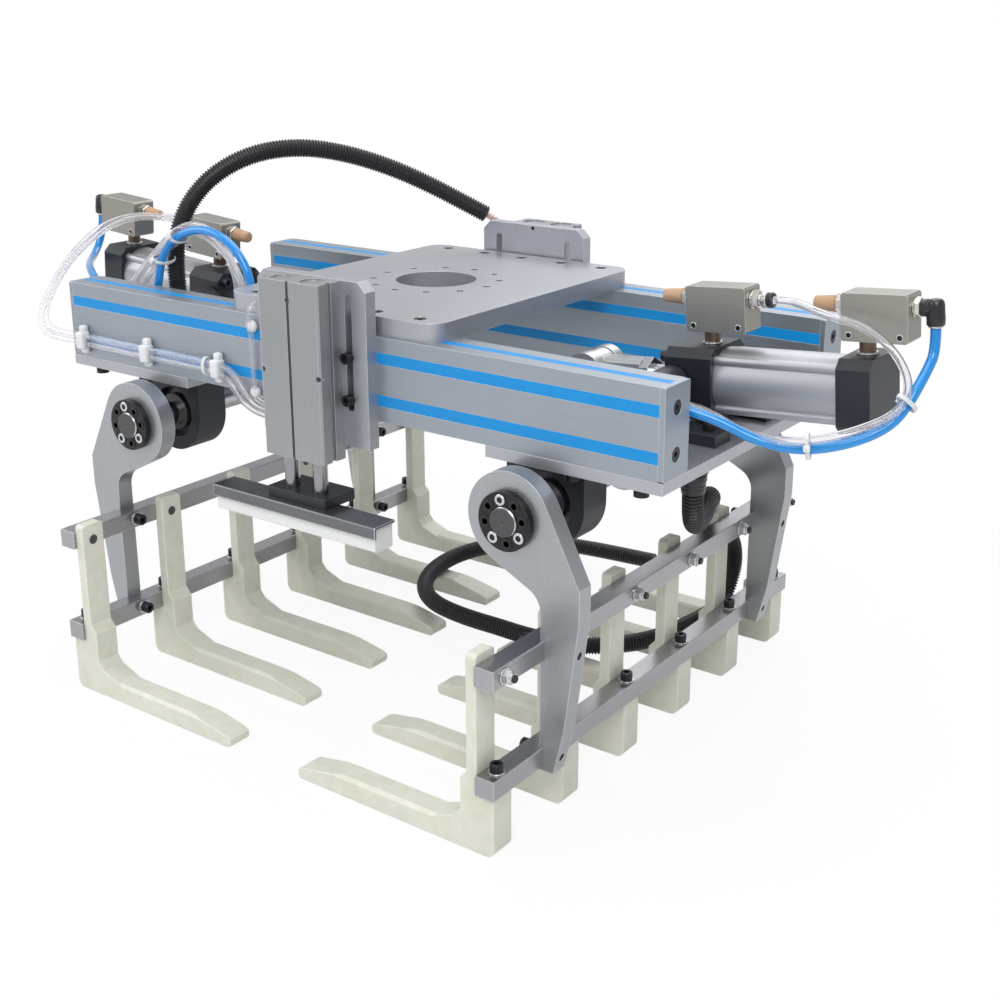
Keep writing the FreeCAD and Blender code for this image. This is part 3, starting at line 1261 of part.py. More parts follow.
cord("arch_clear_tube", [
    (*union_place, base_top + S["union_height"]), (-395, -126.5, -58), (-386, -126.5, -36),
    (-368, -126.5, -18), (-351, -126.5, -2), (-333, -126.5, 14), (-313, -126.5, 30),
    (-290, -126.5, 47), (-263, -126.5, 56), (-236, -126.5, 52), (-213, -126.5, 38), (-199, -126.5, 16),
    (-194, -126.5, -10), (-193, -126.5, -38), (*left_ports[0], left_port_z)], clear_dia)

doc.recompute()
for thing in doc.Objects:
    if "Invalid" in thing.State or "Error" in thing.State:
        raise RuntimeError(f"{thing.Label}: {thing.State}")
os.makedirs("parts", exist_ok=True)
for node, piece in handed_over:
    if piece.Shape.isNull() or not piece.Shape.isValid():
        raise RuntimeError(f"{node} has no valid shape")
    piece.Shape.exportStep(f"parts/{node}.step")
print(f"{len(handed_over)} nodes written")
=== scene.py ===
import math

import bmesh
import bpy
from mathutils import Matrix, Vector


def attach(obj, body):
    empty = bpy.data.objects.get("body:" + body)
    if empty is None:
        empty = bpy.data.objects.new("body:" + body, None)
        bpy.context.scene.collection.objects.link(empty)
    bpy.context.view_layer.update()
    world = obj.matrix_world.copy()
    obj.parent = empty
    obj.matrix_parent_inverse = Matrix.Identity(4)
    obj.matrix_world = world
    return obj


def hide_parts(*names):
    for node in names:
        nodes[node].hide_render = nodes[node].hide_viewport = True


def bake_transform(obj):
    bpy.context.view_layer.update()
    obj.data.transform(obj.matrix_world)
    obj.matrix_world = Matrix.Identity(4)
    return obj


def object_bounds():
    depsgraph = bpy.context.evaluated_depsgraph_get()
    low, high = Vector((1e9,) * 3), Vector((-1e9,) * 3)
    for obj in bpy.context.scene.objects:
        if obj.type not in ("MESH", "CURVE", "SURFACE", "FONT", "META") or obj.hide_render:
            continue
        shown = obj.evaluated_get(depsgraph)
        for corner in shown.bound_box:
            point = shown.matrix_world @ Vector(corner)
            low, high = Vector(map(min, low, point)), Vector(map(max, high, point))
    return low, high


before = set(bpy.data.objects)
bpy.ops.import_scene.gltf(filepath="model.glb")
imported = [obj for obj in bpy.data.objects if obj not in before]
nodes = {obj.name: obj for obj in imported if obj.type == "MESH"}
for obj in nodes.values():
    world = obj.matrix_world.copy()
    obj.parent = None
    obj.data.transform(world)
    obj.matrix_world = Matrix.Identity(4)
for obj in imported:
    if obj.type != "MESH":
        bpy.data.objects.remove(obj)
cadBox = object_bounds()
print("frame loaded:", len(nodes), "nodes")


def addObject(name, data):
    made = bpy.data.objects.new(name, data)
    bpy.context.scene.collection.objects.link(made)
    return made


# --- camera, set first because the cords are laid out by it
cameraSettings = {
    "place": (1.0282, -1.2704, 0.3212),
    "turn": (72.6, 0.0, 35.9),
    "lens": 51.8,
    "shift": (-0.0127, -0.063),
}
cameraData = bpy.data.cameras.new("photoCamera")
cameraData.sensor_width = 36
cameraData.lens = cameraSettings["lens"]
cameraData.shift_x, cameraData.shift_y = cameraSettings["shift"]
cameraData.clip_start = 0.05
cameraData.clip_end = 30
cameraObject = addObject("photoCamera", cameraData)
cameraObject.location = cameraSettings["place"]
cameraObject.rotation_euler = [math.radians(a) for a in cameraSettings["turn"]]
bpy.context.scene.camera = cameraObject
bpy.context.scene.view_settings.view_transform = "Standard"
print("camera set")


# --- shader helpers
def addNode(tree, kind, values=None, **settings):
    node = tree.nodes.new(kind)
    for key, value in settings.items():
        setattr(node, key, value)
    for key, value in (values or {}).items():
        node.inputs[key].default_value = value
    return node


# a math node in either kind of tree, fed by numbers or by other nodes' outputs
def mathNode(tree, operation, *terms, clamp=False):
    node = addNode(tree, "ShaderNodeMath", operation=operation, use_clamp=clamp)
    for place, term in enumerate(terms):
        if isinstance(term, (int, float)):
            node.inputs[place].default_value = term
        else:
            tree.links.new(term, node.inputs[place])
    return node.outputs[0]


def newGroup(name, inputs, outputs):
    group = bpy.data.node_groups.new(name, "ShaderNodeTree")
    for title, kind, default in inputs:
        socket = group.interface.new_socket(name=title, in_out="INPUT", socket_type="NodeSocket" + kind)
        if default is not None:
            socket.default_value = default
    for title, kind in outputs:
        group.interface.new_socket(name=title, in_out="OUTPUT", socket_type="NodeSocket" + kind)
    return group, group.nodes.new("NodeGroupInput"), group.nodes.new("NodeGroupOutput")


# fine grain that can be drawn out along one axis, as milling, brushing or moulding leaves it
def makeGrainGroup():
    group, given, out = newGroup(
        "surfaceGrain",
        [("Vector", "Vector", None), ("Stretch", "Vector", (1, 1, 1)), ("Scale", "Float", 200.0),
         ("Contrast", "Float", 1.0)],
        [("Grain", "Float"), ("Patches", "Float")])
    links = group.links
    stretched = addNode(group, "ShaderNodeVectorMath", operation="MULTIPLY")
    links.new(given.outputs["Vector"], stretched.inputs[0])
    links.new(given.outputs["Stretch"], stretched.inputs[1])
    fine = addNode(group, "ShaderNodeTexNoise", {"Detail": 4, "Roughness": 0.65})
    links.new(stretched.outputs[0], fine.inputs["Vector"])
    links.new(given.outputs["Scale"], fine.inputs["Scale"])
    centred = mathNode(group, "SUBTRACT", fine.outputs["Fac"], 0.5)
    scaled = mathNode(group, "MULTIPLY_ADD", centred, given.outputs["Contrast"], 0.5)
    links.new(scaled, out.inputs["Grain"])
    broad = addNode(group, "ShaderNodeTexNoise", {"Scale": 9, "Detail": 3})
    links.new(given.outputs["Vector"], broad.inputs["Vector"])
    links.new(broad.outputs["Fac"], out.inputs["Patches"])
    return group


# bright edges, partly wear and partly a painted highlight, found by rounding the surface normal over a small radius
def makeEdgeGroup():
    group, given, out = newGroup("edgeWearAndHighlight", [("Radius", "Float", 0.0008), ("Sharpness", "Float", 14.0)],
                                 [("Edge", "Float"), ("Normal", "Vector")])
    links = group.links
    rounded = addNode(group, "ShaderNodeBevel", samples=6)
    links.new(given.outputs["Radius"], rounded.inputs["Radius"])
    geometry = addNode(group, "ShaderNodeNewGeometry")
    dot = addNode(group, "ShaderNodeVectorMath", operation="DOT_PRODUCT")
    links.new(rounded.outputs["Normal"], dot.inputs[0])
    links.new(geometry.outputs["Normal"], dot.inputs[1])
    away = mathNode(group, "SUBTRACT", 1, dot.outputs["Value"])
    strong = mathNode(group, "MULTIPLY", away, given.outputs["Sharpness"], clamp=True)
    links.new(strong, out.inputs["Edge"])
    links.new(rounded.outputs["Normal"], out.inputs["Normal"])
    return group


grainGroup = makeGrainGroup()
edgeGroup = makeEdgeGroup()
grainShare, patchShare = 0.55, 0.5
reliefDepth = 0.0004


# every material starts with grain in object space and a mix of two tones
def startMaterial(name, dark, pale, grain):
    material = bpy.data.materials.new(name)
    material.use_nodes = True
    tree = material.node_tree
    place = addNode(tree, "ShaderNodeTexCoord")
    surface = addNode(tree, "ShaderNodeGroup", {"Scale": grain}, node_tree=grainGroup)
    tree.links.new(place.outputs["Object"], surface.inputs["Vector"])
    tones = addNode(tree, "ShaderNodeMix", {"A": (*dark, 1), "B": (*pale, 1)}, data_type="RGBA")
    return material, tree, tree.links, tree.nodes["Principled BSDF"], surface, tones


# one finish: a colour that drifts between two tones, grain in roughness and bump, paler or darker edges that are
# partly wear and partly a painted highlight
def makeFinish(name, dark, pale, edge, metallic, roughness, spread, grain, stretch, bump, radius=0.0006, more=None):
    material, tree, links, shader, surface, tones = startMaterial(name, dark, pale, grain)
    surface.inputs["Stretch"].default_value = stretch
    shader.inputs["Metallic"].default_value = metallic
    for key, value in (more or {}).items():
        shader.inputs[key].default_value = value
    half = mathNode(tree, "MULTIPLY", surface.outputs["Patches"], patchShare)
    both = mathNode(tree, "MULTIPLY_ADD", surface.outputs["Grain"], grainShare, half, clamp=True)
    links.new(both, tones.inputs["Factor"])
    wearAndHighlightMix = addNode(tree, "ShaderNodeMix", {"B": (*edge, 1)}, data_type="RGBA")
    wearAndHighlightMask = addNode(tree, "ShaderNodeGroup", {"Radius": radius}, node_tree=edgeGroup)
    links.new(tones.outputs["Result"], wearAndHighlightMix.inputs["A"])
    links.new(wearAndHighlightMask.outputs["Edge"], wearAndHighlightMix.inputs["Factor"])
    links.new(wearAndHighlightMix.outputs["Result"], shader.inputs["Base Color"])
    rough = addNode(tree, "ShaderNodeMapRange", {"To Min": roughness - spread, "To Max": roughness + spread})
    links.new(surface.outputs["Grain"], rough.inputs["Value"])
    links.new(rough.outputs["Result"], shader.inputs["Roughness"])
    relief = addNode(tree, "ShaderNodeBump", {"Strength": bump, "Distance": reliefDepth})
    links.new(surface.outputs["Grain"], relief.inputs["Height"])
    links.new(wearAndHighlightMask.outputs["Normal"], relief.inputs["Normal"])
    links.new(relief.outputs["Normal"], shader.inputs["Normal"])
    return material


# columns: dark, pale and edge colour (the edge colour is partly wear and partly a painted highlight), metallic,
# roughness and its spread, grain and its stretch, bump, edge radius
finishRows = {
    "satinBeam": ((0.28, 0.315, 0.36), (0.40, 0.435, 0.48), (0.74, 0.76, 0.79), 0.75, 0.40, 0.06, 260, (0.04, 1, 1),
        0.10),
    "milledPlate": ((0.36, 0.37, 0.40), (0.52, 0.53, 0.57), (0.80, 0.81, 0.83), 0.75, 0.38, 0.08, 420, (1, 0.06, 1),
        0.14),
    "greyPlate": ((0.28, 0.295, 0.305), (0.385, 0.40, 0.415), (0.72, 0.73, 0.75), 0.70, 0.40, 0.06, 360, (1, 1, 0.05),
        0.10),
    "sawnArm": ((0.31, 0.325, 0.34), (0.45, 0.465, 0.485), (0.92, 0.93, 0.94), 0.80, 0.36, 0.08, 380, (1, 1, 0.10),
        0.14),
    "drawnBar": ((0.30, 0.30, 0.31), (0.46, 0.46, 0.48), (0.90, 0.90, 0.92), 0.90, 0.30, 0.08, 500, (1, 0.03, 1),
        0.16),
    "drawnBarrel": ((0.40, 0.41, 0.44), (0.51, 0.52, 0.55), (0.72, 0.73, 0.76), 0.85, 0.46, 0.03, 500, (0.03, 1, 1),
        0.03),
    "groundShaft": ((0.46, 0.47, 0.49), (0.66, 0.67, 0.69), (0.85, 0.85, 0.86), 1.0, 0.22, 0.06, 900, (1, 0.2, 1),
        0.08, 0.0003),
    "zincSteel": ((0.50, 0.51, 0.52), (0.68, 0.69, 0.70), (0.88, 0.88, 0.89), 0.95, 0.28, 0.08, 240, (1, 1, 1), 0.12,
        0.0004),
    "forgedZinc": ((0.36, 0.37, 0.38), (0.50, 0.51, 0.52), (0.86, 0.86, 0.87), 0.90, 0.36, 0.05, 520, (1, 1, 1), 0.03,
        0.0007),
    "guideRod": ((0.22, 0.225, 0.24), (0.34, 0.345, 0.36), (0.80, 0.80, 0.82), 1.0, 0.20, 0.06, 700, (1, 1, 0.04),
        0.08, 0.0004),
    # pressBar: its pure white edge colour over a wide radius is a painted highlight line along the bar's edges
    "pressBar": ((0.11, 0.115, 0.125), (0.20, 0.205, 0.22), (1.0, 1.0, 1.0), 0.85, 0.32, 0.06, 420, (0.04, 1, 1),
        0.10, 0.0012),
    "blackCasting": ((0.012, 0.014, 0.019), (0.030, 0.033, 0.042), (0.07, 0.075, 0.09), 0.0, 0.46, 0.08, 320,
        (1, 1, 1), 0.35, 0.0012),
    "capPaint": ((0.007, 0.009, 0.013), (0.015, 0.018, 0.026), (0.05, 0.055, 0.065), 0.0, 0.40, 0.07, 260, (1, 1, 1),
        0.14, 0.0012),
    "blackOxide": ((0.010, 0.010, 0.012), (0.030, 0.030, 0.033), (0.14, 0.14, 0.15), 0.55, 0.36, 0.08, 500, (1, 1, 1),
        0.10, 0.0003),
    "nickelValve": ((0.28, 0.27, 0.24), (0.38, 0.37, 0.33), (0.74, 0.72, 0.66), 0.70, 0.36, 0.06, 340, (0.15, 1, 1),
        0.10, 0.0008),
    "darkSteel": ((0.06, 0.06, 0.065), (0.13, 0.13, 0.135), (0.30, 0.30, 0.31), 0.85, 0.40, 0.08, 420, (1, 1, 1),
        0.14, 0.0003),
    "brownBrass": ((0.16, 0.10, 0.075), (0.26, 0.18, 0.13), (0.50, 0.42, 0.34), 0.70, 0.38, 0.08, 420, (1, 1, 1),
        0.14, 0.0003),
    "brightNickel": ((0.58, 0.56, 0.52), (0.76, 0.74, 0.70), (0.92, 0.90, 0.86), 1.0, 0.18, 0.05, 300, (1, 1, 1),
        0.06, 0.0003),
    "sinteredBronze": ((0.42, 0.25, 0.14), (0.66, 0.45, 0.29), (0.78, 0.60, 0.42), 0.25, 0.72, 0.10, 2600, (1, 1, 1),
        0.90, 0.0004),
    "blueStrip": ((0.002, 0.21, 0.56), (0.005, 0.31, 0.73), (0.01, 0.38, 0.82), 0.0, 0.42, 0.06, 120, (0.05, 1, 1),
        0.10, 0.0005, {"Specular IOR Level": 0.35}),
    "hosePlastic": ((0.008, 0.008, 0.010), (0.020, 0.020, 0.023), (0.06, 0.06, 0.065), 0.0, 0.36, 0.08, 400,
        (1, 1, 1), 0.10, 0.0004),
    "blackPlastic": ((0.010, 0.010, 0.012), (0.024, 0.024, 0.028), (0.07, 0.07, 0.08), 0.0, 0.32, 0.08, 300,
        (1, 1, 1), 0.10, 0.0005),
    "whiteFoam": ((0.70, 0.71, 0.70), (0.84, 0.85, 0.84), (0.88, 0.88, 0.87), 0.0, 0.62, 0.08, 700, (1, 1, 1), 0.35,
        0.0010, {"Subsurface Weight": 0.15, "Subsurface Scale": 0.004}),
    "tieNylon": ((0.66, 0.68, 0.69), (0.82, 0.84, 0.85), (0.90, 0.92, 0.93), 0.0, 0.34, 0.08, 300, (1, 1, 1), 0.15,
        0.0006, {"Subsurface Weight": 0.3, "Subsurface Scale": 0.003})}
finishes = {name: makeFinish(name, *row) for name, row in finishRows.items()}
print("metal and plastic finishes made:", len(finishes))


tubeCloudScale = 60


# clear and coloured air tube, seen through to its bore
def makeTubePlastic(name, dark, pale, transmission, roughness, ior):
    material, tree, links, shader, surface, tones = startMaterial(name, dark, pale, tubeCloudScale)
    shader.inputs["Transmission Weight"].default_value = transmission
    shader.inputs["IOR"].default_value = ior
    shader.inputs["Coat Weight"].default_value = 0.7
    shader.inputs["Coat Roughness"].default_value = 0.06
    links.new(surface.outputs["Patches"], tones.inputs["Factor"])
    links.new(tones.outputs["Result"], shader.inputs["Base Color"])
    rough = addNode(tree, "ShaderNodeMapRange", {"To Min": roughness * 0.6, "To Max": roughness * 1.5})
    links.new(surface.outputs["Grain"], rough.inputs["Value"])
    links.new(rough.outputs["Result"], shader.inputs["Roughness"])
    return material


nylonLooks = {"clouds": {"Scale": 34, "Detail": 5, "Distortion": 1.2}, "reach": {"From Min": 0.36, "From Max": 0.66},
              "tint": (0.93, 0.94, 0.89, 1), "scatter": (1.0, 0.95, 0.7)}


# moulded nylon: cloudy inside, a little green in the thick parts, paler along its edges, partly scuffs and partly a
# painted highlight
def makeNylon():
    material = makeFinish("castNylon", (0.64, 0.63, 0.54), (0.81, 0.80, 0.72), (0.89, 0.88, 0.82), 0.0,
                          0.44, 0.10, 90, (1, 1, 1), 0.22, 0.0018,
                          {"Subsurface Weight": 0.35, "Subsurface Scale": 0.006})
    tree = material.node_tree
    links = tree.links
    shader = tree.nodes["Principled BSDF"]
    shader.inputs["Subsurface Radius"].default_value = nylonLooks["scatter"]
    place = addNode(tree, "ShaderNodeTexCoord")
    clouds = addNode(tree, "ShaderNodeTexNoise", nylonLooks["clouds"])
    links.new(place.outputs["Object"], clouds.inputs["Vector"])
    spread = addNode(tree, "ShaderNodeMapRange", nylonLooks["reach"])
    links.new(clouds.outputs["Fac"], spread.inputs["Value"])
    cloudy = addNode(tree, "ShaderNodeMix", {"B": nylonLooks["tint"]}, data_type="RGBA", blend_type="MULTIPLY")
    before = shader.inputs["Base Color"].links[0].from_socket
    links.new(before, cloudy.inputs["A"])
    links.new(spread.outputs["Result"], cloudy.inputs["Factor"])
    links.new(cloudy.outputs["Result"], shader.inputs["Base Color"])
    return material


finishes["castNylon"] = makeNylon()
finishes["clearTube"] = makeTubePlastic("clearTube", (0.90, 0.89, 0.92), (0.97, 0.96, 0.97), 0.93, 0.05, 1.14)
finishes["blueTube"] = makeTubePlastic("blueTube", (0.003, 0.22, 0.66), (0.006, 0.33, 0.82), 0.08, 0.12, 1.42)
finishes["pinkTube"] = makeTubePlastic("pinkTube", (0.80, 0.60, 0.56), (0.92, 0.76, 0.72), 0.55, 0.12, 1.15)

# a star stands for right and left
nodeFinish = {
    "milledPlate": "mounting_plate base_plates press_brackets",
    "greyPlate": "press_bodies",
    "sawnArm": "*_arms",
    "satinBeam": "front_beam rear_beam end_caps",
    "drawnBar": "*_cross_bars",
    "pressBar": "front_press_bar rear_press_bar",
    "guideRod": "front_guide_rods rear_guide_rods",
    "drawnBarrel": "*_barrel",
    "blueStrip": "slot_strips",
    "groundShaft": "*_shaft *_piston_rod",
    "darkSteel": "bearing_inserts",
    "forgedZinc": "*_clevis_pin *_rod_knuckle *_lever",
    "zincSteel": "*_claw_bolts",
    "blackCasting": "bearing_housings trunnion_pedestals",
    "capPaint": "*_cylinder_caps front_end_plate rear_end_plate",
    "blackOxide": "*_locking_hubs plate_screws end_cap_screws frame_bolts",
    "nickelValve": "*_valves",
    "brightNickel": "*_valve_fittings",
    "castNylon": "*_fingers",
    "whiteFoam": "front_press_pad rear_press_pad",
    "blackPlastic": "hose_glands tube_junctions",
    "tieNylon": "tube_clips",
    "hosePlastic": "*_hose",
    "clearTube": "*_clear_tube arch_clear_tube",
    "blueTube": "*_blue_tube"}
dressed = set()
for finish, names in nodeFinish.items():
    for name in dict.fromkeys(title.replace("*", side) for title in names.split() for side in ("right", "left")):
        for slot in nodes[name].material_slots:
            slot.material = finishes[finish]
        dressed.add(name)
print("nodes without a finish:", sorted(set(nodes) - dressed))


# --- geometry node trees: one that sweeps a round section, one that adds ribs, one that repeats a piece
def newTree(name, inputs):
    tree = bpy.data.node_groups.new(name, "GeometryNodeTree")
    tree.interface.new_socket(name="Geometry", in_out="INPUT", socket_type="NodeSocketGeometry")
    for title, kind, default in inputs:
        socket = tree.interface.new_socket(name=title, in_out="INPUT", socket_type="NodeSocket" + kind)
        if default is not None:
            socket.default_value = default
    tree.interface.new_socket(name="Geometry", in_out="OUTPUT", socket_type="NodeSocketGeometry")
    return tree, tree.nodes.new("NodeGroupInput"), tree.nodes.new("NodeGroupOutput")


def finishTree(tree, last, given, out):
    links = tree.links
    realize = tree.nodes.new("GeometryNodeRealizeInstances")
    smooth = tree.nodes.new("GeometryNodeSetShadeSmooth")
    paint = tree.nodes.new("GeometryNodeSetMaterial")
    links.new(last, realize.inputs[0])
    links.new(realize.outputs[0], smooth.inputs["Geometry"])
    links.new(given.outputs["Smooth"], smooth.inputs["Shade Smooth"])
    links.new(smooth.outputs[0], paint.inputs["Geometry"])
    links.new(given.outputs["Finish"], paint.inputs["Material"])
    links.new(paint.outputs[0], out.inputs["Geometry"])


def makeTubeTree():
    tree, given, out = newTree("tubeAlongLine", [
        ("Radius", "Float", 0.004), ("Bore", "Float", 0.0), ("Sides", "Int", 16), ("Smooth", "Bool", True),
        ("Finish", "Material", None)])
    links = tree.links
    line = tree.nodes.new("GeometryNodeMeshToCurve")
    links.new(given.outputs["Geometry"], line.inputs["Mesh"])
    walls = []
    for title in ("Radius", "Bore"):
        ring = tree.nodes.new("GeometryNodeCurvePrimitiveCircle")
        links.new(given.outputs["Sides"], ring.inputs["Resolution"])
        links.new(given.outputs[title], ring.inputs["Radius"])
        sweep = tree.nodes.new("GeometryNodeCurveToMesh")
        links.new(line.outputs["Curve"], sweep.inputs["Curve"])
        links.new(ring.outputs["Curve"], sweep.inputs["Profile Curve"])
        sweep.inputs["Fill Caps"].default_value = True
        walls.append(sweep.outputs["Mesh"])
    inner = tree.nodes.new("GeometryNodeFlipFaces")
    links.new(walls[1], inner.inputs[0])
    hollow = mathNode(tree, "GREATER_THAN", given.outputs["Bore"], 0.0)
    keepInner = tree.nodes.new("GeometryNodeSwitch")
    keepInner.input_type = "GEOMETRY"
    links.new(hollow, keepInner.inputs["Switch"])
    links.new(inner.outputs[0], keepInner.inputs["True"])
    both = tree.nodes.new("GeometryNodeJoinGeometry")
    links.new(walls[0], both.inputs[0])
    links.new(keepInner.outputs[0], both.inputs[0])
    finishTree(tree, both.outputs[0], given, out)
    return tree


def makeRibTree():
    tree, given, out = newTree("ribbedHose", [
        ("Radius", "Float", 0.011), ("Depth", "Float", 0.0016), ("Pitch", "Float", 0.0034), ("Sides", "Int", 18),
        ("Smooth", "Bool", True), ("Finish", "Material", None)])
    links = tree.links
    line = tree.nodes.new("GeometryNodeMeshToCurve")
    links.new(given.outputs["Geometry"], line.inputs["Mesh"])
    quarter = mathNode(tree, "DIVIDE", given.outputs["Pitch"], 4.0)
    even = tree.nodes.new("GeometryNodeResampleCurve")
    even.mode = "LENGTH"
    links.new(line.outputs["Curve"], even.inputs["Curve"])
    links.new(quarter, even.inputs["Length"])
    index = tree.nodes.new("GeometryNodeInputIndex")
    step = mathNode(tree, "MODULO", index.outputs[0], 4.0)
    valley = mathNode(tree, "GREATER_THAN", step, 1.5)
    drop = mathNode(tree, "MULTIPLY", valley, given.outputs["Depth"])
    radius = mathNode(tree, "SUBTRACT", given.outputs["Radius"], drop)
    store = tree.nodes.new("GeometryNodeSetCurveRadius")
    links.new(even.outputs["Curve"], store.inputs["Curve"])
    links.new(radius, store.inputs["Radius"])
    ring = tree.nodes.new("GeometryNodeCurvePrimitiveCircle")
    links.new(given.outputs["Sides"], ring.inputs["Resolution"])
    ring.inputs["Radius"].default_value = 1
    sweep = tree.nodes.new("GeometryNodeCurveToMesh")
    links.new(store.outputs["Curve"], sweep.inputs["Curve"])
    links.new(ring.outputs["Curve"], sweep.inputs["Profile Curve"])
    if "Scale" in sweep.inputs:
        links.new(radius, sweep.inputs["Scale"])
    sweep.inputs["Fill Caps"].default_value = True
    finishTree(tree, sweep.outputs["Mesh"], given, out)
    return tree


# repeats one modelled piece at each point of a mesh, turned by the point's stored rotation
def makeRepeatTree():
    tree, given, out = newTree("repeatPiece", [
        ("Piece", "Object", None), ("Scale", "Float", 1.0), ("Smooth", "Bool", False),
        ("Finish", "Material", None)])
    links = tree.links
    source = tree.nodes.new("GeometryNodeObjectInfo")
    links.new(given.outputs["Piece"], source.inputs["Object"])
    turn = tree.nodes.new("GeometryNodeInputNamedAttribute")
    turn.data_type = "FLOAT_VECTOR"
    turn.inputs["Name"].default_value = "turn"
    spots = tree.nodes.new("GeometryNodeInstanceOnPoints")
    links.new(given.outputs["Geometry"], spots.inputs["Points"])
    links.new(source.outputs["Geometry"], spots.inputs["Instance"])
    links.new(turn.outputs["Attribute"], spots.inputs["Rotation"])
    size = tree.nodes.new("ShaderNodeCombineXYZ")
    for axis in "XYZ":
        links.new(given.outputs["Scale"], size.inputs[axis])
    links.new(size.outputs[0], spots.inputs["Scale"])
    finishTree(tree, spots.outputs["Instances"], given, out)
    return tree


tubeTree = makeTubeTree()
ribTree = makeRibTree()
repeatTree = makeRepeatTree()


def applyTree(hostMesh, name, tree, values):
    host = addObject(name + "Host", hostMesh)
    modifier = host.modifiers.new("build", "NODES")
    modifier.node_group = tree
    for item in tree.interface.items_tree:
        if item.item_type == "SOCKET" and item.in_out == "INPUT" and item.name in values:
            modifier[item.identifier] = values[item.name]
    bpy.context.view_layer.update()
    depsgraph = bpy.context.evaluated_depsgraph_get()
    made = bpy.data.meshes.new_from_object(host.evaluated_get(depsgraph))
    host.modifiers.clear()
    bpy.data.objects.remove(host)
    made.name = name
    return addObject(name, made)


# --- cords: every route is a NURBS line through the control points of its tube, in millimetres
def routeLine(name, route):
    data = bpy.data.curves.new(name + "Line", "CURVE")
    data.dimensions = "3D"
    data.resolution_u = 10
    spline = data.splines.new("NURBS")
    spline.points.add(len(route) - 1)
    for point, place in zip(spline.points, route):
        point.co = (place[0] / 1000, place[1] / 1000, place[2] / 1000, 1)
    spline.order_u = 3
    spline.use_endpoint_u = True
    holder = addObject(name + "Line", data)
    bpy.context.view_layer.update()
    line = bpy.data.meshes.new_from_object(holder.evaluated_get(bpy.context.evaluated_depsgraph_get()))
    bpy.data.objects.remove(holder)
    points = [vertex.co.copy() for vertex in line.vertices]
    length = sum((b - a).length for a, b in zip(points, points[1:]))
    return line, points, length


upperTube, lowerTube, frontTube = -83.2, -91.8, -198
hoseRoutes = {
    "left_hose": [
        (-315, -110, -94), (-315, -110, -42), (-318, -109, 12), (-313, -96, 62), (-294, -66, 103),
        (-267, -20, 128), (-236, 32, 133), (-204, 82, 122), (-170, 128, 102), (-138, 164, 79), (-106, 192, 56),
        (-84, 209, 41)],
    "right_hose": [
        (394, -94, -138), (394, -94, -158), (391, -87, -177), (386, -74, -191), (379, -56, -198),
        (371, -31, -200), (360, -3, -202), (346, 26, -207), (331, 62, -217), (314, 98, -229), (296, 130, -240),
        (280, 156, -250), (266, 182, -266), (256, 208, -284), (251, 238, -309), (248, 270, -338),
        (246, 296, -365), (245, 302, -397), (243, 289, -428), (240, 262, -446.5), (237, 228, -446.5),
        (232, 192, -446.5), (225, 156, -446.5), (209, 122, -446.5), (184, 92, -446.5), (152, 70, -446.5),
        (116, 60, -446.5), (80, 57, -446.5), (44, 58, -446.5), (6, 57, -446.5), (-32, 60, -446.5),
        (-66, 68, -446.5), (-96, 86, -446.5), (-120, 113, -446.5), (-136, 146, -446.5), (-144, 182, -446.5),
        (-144, 220, -446.5), (-134, 257, -446.5), (-115, 290, -446.5), (-88, 317, -446.5), (-55, 337, -447),
        (-18, 349, -448), (20, 357, -449), (55, 363, -450), (89, 369, -451)]}
